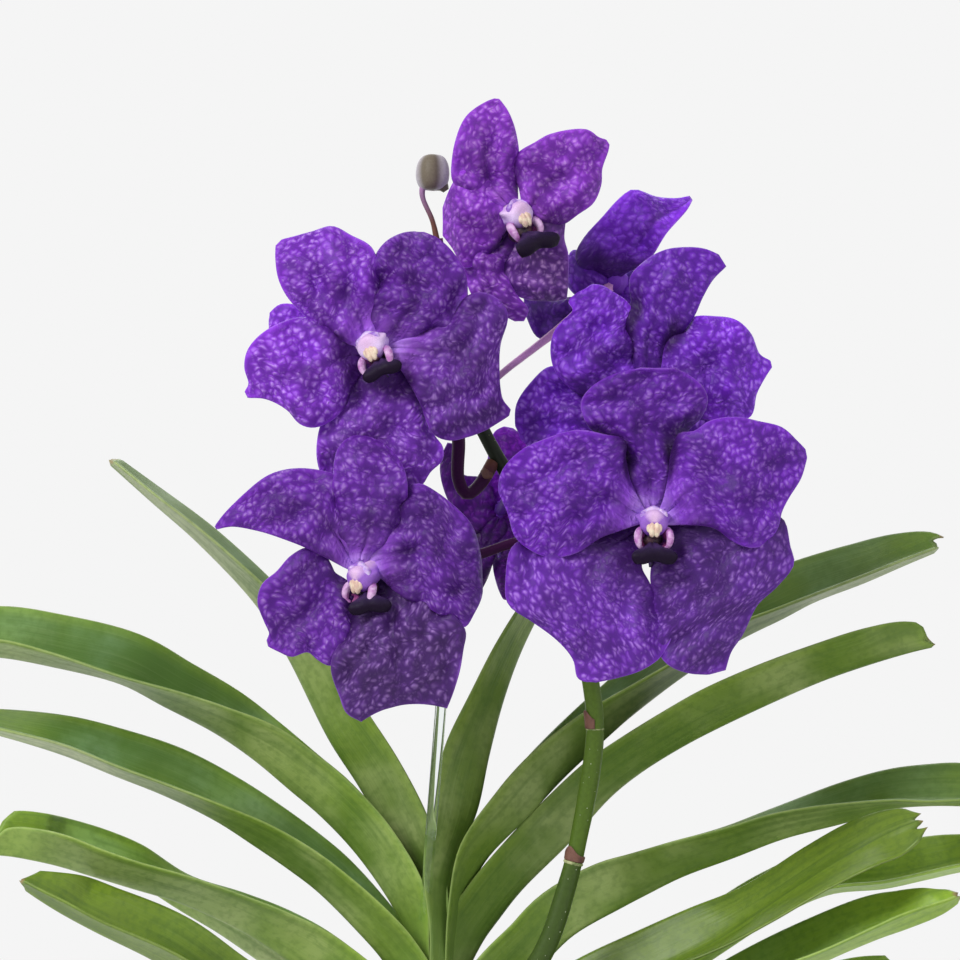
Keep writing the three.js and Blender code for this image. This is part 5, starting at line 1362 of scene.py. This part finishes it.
def leaf_middle(stations, side, bites):
    """Middle points of a folded leaf, in millimetres, with how far along, across and from the tip.

    side is -1 for a leaf on the left of the stem and 1 for one on its right.
    """
    rows, columns = LEAF_GRID
    stations = np.asarray(stations, float)
    keel = stations[:, [0, 4, 1]]
    knots = knots_of(keel)
    fine = np.linspace(0, knots[-1], CURVE_SAMPLES * len(stations))
    values = through(stations, knots, fine)
    run = lengths_along(values[:, [0, 4, 1]])
    t = np.linspace(-1, 1, columns)
    across = 1.25 * t - 0.25 * t**3
    share = closer_at_the_ends(rows, 0.3)[:, None]
    bite = np.interp(across, *zip(*bites)) * smooth_step(0.8, 1, share)
    where = share * run[-1] - bite
    x, z, front, back, depth = (np.interp(where, run, values[:, i]) for i in range(5))
    slope = np.gradient(values[:, :2], run, axis=0)
    slope /= norm(slope, axis=1, keepdims=True)
    run_x, run_z = (np.interp(where, run, slope[:, i]) for i in range(2))
    up_x, up_z = -run_z * side, run_x * side
    half_width = np.minimum(LEAF_HALF_WIDTH, TIP_HALF_WIDTH + TIP_TAPER * (run[-1] - where))
    sheath = SHEATH_DEPTH + SHEATH_NEST * (SHEATH_TOP - stations[0, 1]) + SHEATH_FLARE * where

    def spread(height):
        return np.minimum(sheath, np.sqrt(np.maximum(half_width**2 - height**2, LEAST_SPREAD**2)))

    soft = np.sqrt(across**2 + KEEL_ROUNDING**2)
    full = (math.sqrt(1 + KEEL_ROUNDING**2) + 1) / 2
    ahead, behind = (soft - across) / 2 / full, (soft + across) / 2 / full
    sunk = KEEL_ROUNDING / 2 / full * bump(across, 0, 0.45)
    height = ahead * front + behind * back - sunk * (front + back)
    sideways = behind * spread(back) - ahead * spread(front) - sunk * (spread(back) - spread(front))
    grid = np.stack([x + up_x * height, depth + sideways, z + up_z * height], axis=2)
    return grid, where, across, run[-1] - where


def leaf_piece(name, shape, look, finish, seed):
    """One strap leaf, folded along its keel."""
    side = -1 if "left" in name else 1
    grid, where, across, to_tip = leaf_middle(shape.stations, side, shape.bites)
    rng = np.random.default_rng(seed)
    for wavelength, size in LEAF_WAVES:
        start = rng.uniform(0, math.tau)
        grid[..., 1] += size * np.sin(math.tau * where / wavelength + start + 0.8 * across)
    grid = grid * MM
    body = look.thickness + (look.keel_thickness - look.thickness) * bump(across, 0, 0.15)
    middle = grid.shape[1] // 2
    outer = np.zeros_like(grid)
    outer[:, middle] = grid[:, middle] - (grid[:, 0] + grid[:, -1]) / 2
    young, light, faded = shape.tones
    marks = {"rim": border_distance(grid) / MM, "across": across, "tip": to_tip, "tone": young,
             "light": light, "base": where, "back": (0, 1), "faded": faded}
    piece = sheet_piece(f"{name}_blade", grid, normals_of(grid, outer), body, LEAF_ROUNDING, marks,
                        surface_map(grid, seed))
    settled(piece, "leaf", name, finish=finish)


# ---- Stem, roots and vase ----
STEM_PROFILE = [(2.5, 168), (5.2, 171), (6.6, 176), (6.9, 190), (6.7, 204), (5.4, 214), (4.2, 222),
                (2.4, 236), (2, 280), (1.8, 298), (1, 300)]
SHEATHS = 7
SHEATH_FOOT = 172  # where the lowest sheath starts, and how far above it each next one does
SHEATH_STEP = 6.0
# A sheath's wall from its foot up the outside, over its edge and down inside, and how far out it is.
SHEATH_RISE = [0, 0.35, 0.7, 1, 1, 0.7, 0.3, 0]
SHEATH_OUT = [6.4, 7.1, 7.6, 7.9, 7.4, 7, 6.6, 5.8]
ON_FLOOR = 12.5
ROOT_PATHS = [
    [(3, -3, 190), (16, -12, 165), (26, -20, 125), (20, -28, 85), (4, -32, 50), (-8, -26, 24),
     (-2, -14, ON_FLOOR), (10, -8, ON_FLOOR)],
    [(4, 2, 185), (20, 8, 160), (34, 14, 120), (38, 6, 80), (32, 14, 45), (22, 26, 20),
     (8, 32, ON_FLOOR), (-6, 32, ON_FLOOR)],
    [(-1, 4, 182), (-4, 18, 155), (2, 30, 115), (10, 34, 75), (2, 24, 40), (-8, 22, 20),
     (-14, 12, ON_FLOOR), (-12, 0, ON_FLOOR)],
    [(-3, -2, 178), (-11, -9, 150), (-12, -6, 110), (-4, 2, 75), (2, 8, 45), (12, 6, 22),
     (24, 4, ON_FLOOR), (34, -6, ON_FLOOR)],
]
ROOT_RADII = [3.1, 3.2, 3, 3.1, 2.9, 3, 2.9, 2.8, 2.7, 2.3, 0.9]


def sheath_rings(index):
    """An old sheath: a thin collar that flares out from the stem and ends in a worn edge."""
    angle = turn_in(48)
    edge = 7.5 + 2.5 * np.cos(angle - math.pi * index) + 0.5 * np.sin(7 * angle + index)
    out = (np.array(SHEATH_OUT)[:, None] - 0.18 * index) * (1 + 0.05 * np.cos(2 * angle + index))
    height = SHEATH_FOOT + SHEATH_STEP * index + np.array(SHEATH_RISE)[:, None] * edge
    return round_rings(out, angle, height)


def lathe_rings(profile, sides):
    """Rings round the Z axis, from (radius, height) pairs."""
    radius, height = np.array(profile, float).T[..., None]
    return round_rings(radius, turn_in(sides), height)


def arc(centre, radius, start, end, steps=6):
    """Points of an arc in a profile, with angles in degrees from the radius' direction."""
    angles = np.radians(np.linspace(start, end, steps))
    return [(centre[0] + radius * math.cos(a), centre[1] + radius * math.sin(a)) for a in angles]


def vase_rings(look):
    """The vase's whole skin, up the outside, over the rim and down the inside to its floor."""
    low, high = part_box("vase")
    radius, height = (high[0] - low[0]) / 2, high[2]
    inside, r = radius - look.wall, look.rounding
    corner = 2.5 * r
    profile = [(0.02 * radius, 0), (0.9 * radius, 0)]
    profile += arc((radius - r, r), r, -90, 0)
    profile += [(radius, share * height) for share in (0.2, 0.5, 0.8)]
    profile += arc((radius - r, height - r), r, 0, 90)
    profile += arc((inside + r, height - r), r, 90, 180)
    profile += [(inside, share * height) for share in (0.8, 0.5, 0.2)]
    profile += arc((inside - corner, look.foot + corner), corner, 0, -90)
    profile += [(0.5 * inside, look.foot), (0.02 * inside, look.foot)]
    return lathe_rings(profile, look.sides)


# ---- Operators ----
# rear_flower_2's dark tint is painted shade: it sits behind the other flowers, in their shade.
TINTS = {  # how much red, green and blue each flower's violets have, as shares of the plain ones
    "flower_1": (0.96, 1.05, 0.8), "flower_2": (1, 1, 0.92), "flower_3": (1.12, 1.25, 0.92),
    "flower_5": (1.38, 1.5, 0.95), "rear_flower_2": (0.5, 0.15, 0.4), "rear_flower_3": (0.95, 0.95, 0.85),
}


def petal_finish(flower, look):
    """The tepals' finish for one flower: some are redder or bluer, and rear_flower_2's darker one is painted
    shade.
    """
    plain = dict(blade=look.blade, deep=look.deep, net=look.net, spot=look.spot, throat=look.throat)
    tint = TINTS.get(flower, (1, 1, 1))
    hue = {key: tuple(min(value * share, 1) for value, share in zip(shade, tint))
           for key, shade in plain.items()}
    return tepal_finish(f"tepal_finish_{flower}", look, hue)


class ORCHID_OT_tepals(bpy.types.Operator):
    """Make the petals and sepals of all flowers"""
    bl_idname = "orchid.tepals"
    bl_label = "Petals and sepals"

    def execute(self, context):
        look = context.scene.orchid_flowers
        finishes = {flower: petal_finish(flower, look) for flower in FLOWERS}
        for seed, (node, shape) in enumerate(TEPALS.items(), start=1):
            flower = next(name for name in FLOWERS if node.startswith(name))
            tepal_piece(node, shape, flower, look, finishes[flower], seed)
        return {"FINISHED"}


class ORCHID_OT_columns(bpy.types.Operator):
    """Make the columns with their anther caps and side lobes"""
    bl_idname = "orchid.columns"
    bl_label = "Columns"

    def execute(self, context):
        look = context.scene.orchid_flowers
        finishes = {
            "hood": mottled("hood_finish", look.hood, look.column, 300, 0.4, 0.0002,
                            {"Subsurface Weight": 0.1, "Subsurface Scale": 0.001}),
            "throat": mottled("mouth_finish", look.mouth, look.net, 380, 0.4),
            "slit": mottled("slit_finish", look.slit, look.lip_shade, 400),
            "anther": mottled("anther_finish", look.anther, look.anther_shade, 500, 0.35),
            "lobe": mottled("side_lobe_finish", look.lobe, look.lobe_shade, 400, 0.4),
        }
        # Round each section the column is painted darker underneath, a painted shade, and paler on top in its
        # own hood and lobe colours.
        plain = graded("column_finish", [(0, look.column_underside_shade), (0.4, look.column), (0.8, look.column),
                                         (1, look.lobe)], 300, 0.4)
        darker = graded("rear_column_finish", [(0, look.deep), (1, look.throat)], 300)
        paler = graded("pale_column_finish", [(0, look.column), (0.5, look.hood), (1, look.lobe)], 300, 0.4)
        skins = {name: darker for name in FLOWERS if is_rear(name)}
        skins.update(flower_3=paler, flower_5=paler)
        for name, flower in FLOWERS.items():
            offset, turn = COLUMN_PLACES[name]
            place = turned(np.add(flower["centre"], offset), *turn)
            column_pieces(name, place, {**finishes, "column": skins.get(name, plain)})
        return {"FINISHED"}


class ORCHID_OT_lips(bpy.types.Operator):
    """Make the dark lips with their spurs"""
    bl_idname = "orchid.lips"
    bl_label = "Lips"

    def execute(self, context):
        look = context.scene.orchid_flowers
        # The lip is dark of its own; its near-black base, turned-down front and underside are also painted
        # shade, and the greyer band across its front ridge is a painted sheen.
        stops = [(0, look.lip_shade), (0.3, look.lip), (0.56, look.lip),
                 (0.66, look.lip_sheen), (0.8, look.lip_shade), (1, look.lip_shade)]
        finishes = {
            "lip": graded("lip_finish", stops, 350, 0.4, 0.0004, shine=0.08),
            "spur": mottled("spur_finish", look.deep, look.lip_shade, 300, 0.4),
            "throat": mottled("lip_throat_finish", look.slit, look.lip_shade, 380, 0.4),
        }
        for name, flower in FLOWERS.items():
            offset, turn = LIP_PLACES.get(name, COLUMN_PLACES[name])
            place = turned(np.add(flower["centre"], offset), *turn, size=LIP_SIZES.get(name, 1))
            lip_pieces(name, place, finishes)
        return {"FINISHED"}


class ORCHID_OT_pedicels(bpy.types.Operator):
    """Make each flower's own ribbed stalk"""
    bl_idname = "orchid.pedicels"
    bl_label = "Flowers' own stalks"

    def execute(self, context):
        look, petals = context.scene.orchid_stalks, context.scene.orchid_flowers
        foot = (0, look.bract_edge)
        plain = graded("pedicel_finish", [
            foot, (0.25, look.purple), (0.7, look.purple), (1, look.pale)], 150)
        dark = graded("dark_pedicel_finish", [
            foot, (0.09, look.dark_purple), (1, look.dark_purple)], 150, shine=0.08)
        lilac = graded("lilac_pedicel_finish", [
            foot, (0.1, look.pale), (0.3, look.lilac), (1, look.lilac)], 150)
        # rear_flower_2's stalk, behind the flowers, is painted in the deepest violets as painted shade.
        deep = graded("rear_pedicel_finish", [(0, petals.deep), (1, petals.net)], 150, shine=0.05)
        skins = {"flower_1": dark, "flower_3": dark, "rear_flower_1": lilac, "rear_flower_2": deep}
        for seed, (name, flower) in enumerate(FLOWERS.items()):
            x, y, z = flower["centre"]
            radii = [radius * flower.get("width", 1) for radius in PEDICEL_RADII]
            piece = stalk(f"{name}_pedicel", [*flower["stalk"], (x, y + COLUMN_FOOT, z)], radii,
                          skins.get(name, plain), sides=18, steps=48, ribs=6, rib_depth=0.22,
                          twist=0.6, roughness=0.25, seed=float(seed))
            settled(piece, "column", node_of(name, "column"))
        return {"FINISHED"}


class ORCHID_OT_flower_stalk(bpy.types.Operator):
    """Make the arching flower stalk with its nodes, bracts and pale specks"""
    bl_idname = "orchid.flower_stalk"
    bl_label = "Flower stalk"

    def execute(self, context):
        look = context.scene.orchid_stalks
        # Between the flowers the stalk is painted near black, painted shade among the flowers.
        finish = graded("flower_stalk_finish", [
            (0, look.dark_green), (0.24, look.dark_green), (0.3, look.green), (0.6, look.green),
            (0.7, look.stalk_shadow_green), (0.9, look.stalk_shadow_green), (1, look.purple)], 90)
        body = stalk("peduncle_body", PEDUNCLE_PATH, PEDUNCLE_RADII, finish, sides=28, steps=150,
                     ribs=5, rib_depth=0.12, twist=1.0, roughness=0.3, grain=120.0)
        settled(body, "peduncle", "peduncle")
        bract = mottled("bract_finish", look.bract, look.bract_edge, 220, 0.6, 0.0004)
        pale = mottled("collar_finish", look.collar, look.green, 400)
        for name, (share, turn, spread, height, ring) in STALK_BRACTS.items():
            bract_piece(name, PEDUNCLE_PATH, share, STALK_NODE_RADIUS, height, 0.5, turn, bract, spread)
            collar_piece(f"{name}_collar", PEDUNCLE_PATH, share - COLLAR_DROP, STALK_NODE_RADIUS, ring, pale)
        for name, flower in FLOWERS.items():
            bract_piece(f"{name}_bract", [*flower["stalk"], flower["centre"]], share=0.05, radius=1.6,
                        height=4.5, reach=0.8, turn=90, finish=bract)
        host = body.copy()
        context.scene.collection.objects.link(host)
        speck = mottled("speck_finish", look.speck, look.green, 900, 0.6)
        specks = grown("peduncle_specks", host, speck_tree(), {**SPECKS, "Material": speck})
        settled(specks, "peduncle")
        return {"FINISHED"}


class ORCHID_OT_support(bpy.types.Operator):
    """Make the clear rod that holds the flower stalk up"""
    bl_idname = "orchid.support"
    bl_label = "Support rod"

    def execute(self, context):
        path = np.linspace(*np.array(ROD_ENDS, float), 5)
        rings = tube_rings(path, [ROD_RADIUS] * 2, steps=24, sides=28)
        settled(ring_piece("support_rod", rings * MM), "glass",
                finish=glass_finish("clear_rod", context.scene.orchid_vase))
        return {"FINISHED"}


class ORCHID_OT_bud(bpy.types.Operator):
    """Make the bud with its stalk"""
    bl_idname = "orchid.bud"
    bl_label = "Bud"

    def execute(self, context):
        look = context.scene.orchid_stalks
        finish = graded("bud_finish", [
            (0, look.bud_shade), (0.25, look.bud_shade), (0.9, look.bud)], 160, 0.5)
        place = turned(BUD_CENTRE, 0, -8)
        # Round the bud, olive front and back and paler sides; the paler sides are partly its own lilac-grey
        # and partly a painted highlight.
        pale_and_lit_sides = (1 + np.cos(2 * turn_in(BUD_SIDES) + 0.5)) / 2
        settled(ring_piece("bud_body", place(bud_rings()), pale_and_lit_sides), "bud", "bud", finish=finish)
        spur = ring_piece("bud_spur", place(tube_rings(BUD_SPUR_PATH, [2.8, 2.1, 1.1], steps=12)))
        darker = mottled("bud_spur_finish", look.bud_shade, look.dark_green, 300)
        settled(spur, "bud", "bud", finish=darker)
        skin = graded("bud_stalk_finish", [
            (0, look.bract_edge), (0.35, look.bract_edge), (0.75, look.pale), (1, look.lilac)], 200)
        settled(stalk("bud_stalk", BUD_PATH, [1.2, 0.85, 0.85, 1.2], skin, ribs=6, rib_depth=0.1,
                      roughness=0.2), "bud", "bud")
        return {"FINISHED"}


class ORCHID_OT_leaves(bpy.types.Operator):
    """Make the fan of folded strap leaves"""
    bl_idname = "orchid.leaves"
    bl_label = "Leaves"

    def execute(self, context):
        look = context.scene.orchid_leaves
        finish = leaf_finish(look)
        for seed, (name, shape) in enumerate(LEAVES.items()):
            leaf_piece(name, shape, look, finish, seed)
        return {"FINISHED"}


class ORCHID_OT_stem(bpy.types.Operator):
    """Make the foot of the stem with its old dry sheaths"""
    bl_idname = "orchid.stem"
    bl_label = "Stem"

    def execute(self, context):
        look = context.scene.orchid_leaves
        finish = mottled("sheath_finish", look.sheath, look.sheath_shade, 120, 0.6, 0.0006)
        settled(ring_piece("stem_body", lathe_rings(STEM_PROFILE, 40) * MM), "stem", "stem", finish=finish)
        for i in range(SHEATHS):
            piece = ring_piece(f"stem_sheath_{i + 1}", sheath_rings(i) * MM)
            settled(piece, "stem", "stem", finish=finish)
        return {"FINISHED"}


class ORCHID_OT_roots(bpy.types.Operator):
    """Make the thick silvery aerial roots"""
    bl_idname = "orchid.roots"
    bl_label = "Roots"

    def execute(self, context):
        look = context.scene.orchid_leaves
        finish = graded("root_finish", [
            (0, look.root_shade), (0.06, look.root), (0.93, look.root),
            (1, look.shade)], 60, 0.75, 0.0005)
        for i, path in enumerate(ROOT_PATHS):
            name = f"root_{i + 1}"
            piece = stalk(f"{name}_skin", path, ROOT_RADII, finish, sides=26, steps=150,
                          roughness=0.9, grain=130.0, seed=7.0 + i)
            settled(piece, "root", name)
        return {"FINISHED"}


class ORCHID_OT_vase(bpy.types.Operator):
    """Make the plain straight glass vase"""
    bl_idname = "orchid.vase"
    bl_label = "Vase"

    def execute(self, context):
        look = context.scene.orchid_vase
        settled(ring_piece("vase_glass", vase_rings(look)), "glass", "vase",
                finish=glass_finish("clear_glass", look))
        return {"FINISHED"}


class ORCHID_OT_stage(bpy.types.Operator):
    """Set out the floor, the light and the camera"""
    bl_idname = "orchid.stage"
    bl_label = "Floor, light and camera"

    def execute(self, context):
        scene = context.scene
        look = scene.orchid_stage
        scene.view_settings.view_transform = "Standard"
        scene.view_settings.look = "None"
        make_floor(look)
        light_world(scene, look)
        for name, (direction, angle) in LIGHTS.items():
            add_sun(scene, name, direction, getattr(look, name), angle)
        add_camera(scene, look)
        return {"FINISHED"}


# ---- Stage ----
VIEW_CENTRE = (0.0146, 0.4532)  # what the camera looks at, as x and z
SENSOR_WIDTH = 0.036
FLOOR_RINGS = [0.02, 0.1, 0.25, 0.5, 1]  # shares of the floor's radius
FLOOR_SIDES = 96
# Each light's direction and how wide it looks, in degrees.
LIGHTS = {
    "key_light": ((0.58, 0.66, -0.6), 24), "fill_light": ((-0.8, 0.5, -0.35), 70),
    "back_light": ((0.1, -0.85, -0.6), 60),
}


def make_floor(look):
    """A pale round floor that fades out before its edge."""
    grid = lathe_rings([(share * look.floor_radius, 0) for share in FLOOR_RINGS], FLOOR_SIDES)
    points = np.concatenate([grid.reshape(-1, 3), np.zeros((1, 3))])
    index = looped_index(*grid.shape[:2])
    middle = np.full(FLOOR_SIDES, len(points) - 1)
    faces = [grid_quads(index)[:, ::-1], np.stack([middle, index[0, :-1], index[0, 1:]], axis=1)]
    material, tree, shader = new_finish("floor_finish", {
        "Base Color": look.floor, "Roughness": 0.9, "Specular IOR Level": 0.0})
    away = add_node(tree, "ShaderNodeVectorMath", {0: object_place(tree)}, output="Value", operation="LENGTH")
    fill(shader, {"Alpha": away.ranged(0.95 * look.floor_radius, 0.4 * look.floor_radius)})
    floor = mesh_piece("floor", points, faces)
    floor.data.materials.append(material)


def light_world(scene, look):
    """An even pale backdrop that gives less light than it seems to."""
    world = bpy.data.worlds.new("studio")
    world.use_nodes = True
    tree = world.node_tree
    backdrop = tree.nodes["Background"]
    fill(backdrop, {"Color": look.backdrop})
    soft = add_node(tree, "ShaderNodeBackground", {"Color": (1, 1, 1), "Strength": look.soft_light})
    ray = add_node(tree, "ShaderNodeLightPath", output="Is Diffuse Ray")
    both = add_node(tree, "ShaderNodeMixShader", {0: ray, 1: Value(backdrop.outputs[0]), 2: soft})
    fill(tree.nodes["World Output"], {"Surface": both})
    scene.world = world


def add_sun(scene, name, direction, strength, angle):
    """A soft light from far away that shines in this direction."""
    sun = bpy.data.lights.new(name, "SUN")
    sun.energy = strength
    sun.angle = math.radians(angle)
    light = bpy.data.objects.new(name, sun)
    light.rotation_euler = Vector(direction).to_track_quat("-Z", "Y").to_euler()
    scene.collection.objects.link(light)


def add_camera(scene, look):
    """A level camera far in front, so that near and far parts keep their true sizes."""
    camera = bpy.data.cameras.new("camera")
    camera.lens = 1000 * SENSOR_WIDTH * look.camera_distance / look.view_width
    camera.clip_end = 10 * look.camera_distance
    view = bpy.data.objects.new("camera", camera)
    view.location = (VIEW_CENTRE[0], -look.camera_distance, VIEW_CENTRE[1])
    view.rotation_euler = (math.pi / 2, 0, 0)
    scene.collection.objects.link(view)
    scene.camera = view


# ---- Add-on ----
class ORCHID_PT_panel(bpy.types.Panel):
    """Lists what builds the orchid, with its sizes and colours"""
    bl_label = "Vanda orchid"
    bl_idname = "ORCHID_PT_panel"
    bl_space_type = "VIEW_3D"
    bl_region_type = "UI"
    bl_category = "Orchid"

    def draw(self, context):
        for kind in OPERATORS:
            self.layout.operator(kind.bl_idname)
        for key, kind in LOOKS.items():
            box = self.layout.box()
            box.label(text=kind.__doc__)
            for setting in kind.__annotations__:
                label = setting.replace("_", " ").capitalize()
                box.prop(getattr(context.scene, key), setting, text=label)


OPERATORS = (
    ORCHID_OT_stage, ORCHID_OT_vase, ORCHID_OT_roots, ORCHID_OT_stem, ORCHID_OT_leaves,
    ORCHID_OT_flower_stalk, ORCHID_OT_support, ORCHID_OT_pedicels, ORCHID_OT_bud,
    ORCHID_OT_columns, ORCHID_OT_lips, ORCHID_OT_tepals,
)


def register():
    for kind in (*LOOKS.values(), *OPERATORS, ORCHID_PT_panel):
        bpy.utils.register_class(kind)
    for key, kind in LOOKS.items():
        setattr(bpy.types.Scene, key, PointerProperty(type=kind))


def unregister():
    for key in LOOKS:
        delattr(bpy.types.Scene, key)
    for kind in reversed((*LOOKS.values(), *OPERATORS, ORCHID_PT_panel)):
        bpy.utils.unregister_class(kind)


def main():
    register()
    for kind in OPERATORS:
        group, action = kind.bl_idname.split(".")
        getattr(getattr(bpy.ops, group), action)()


if __name__ == "__main__":
    main()
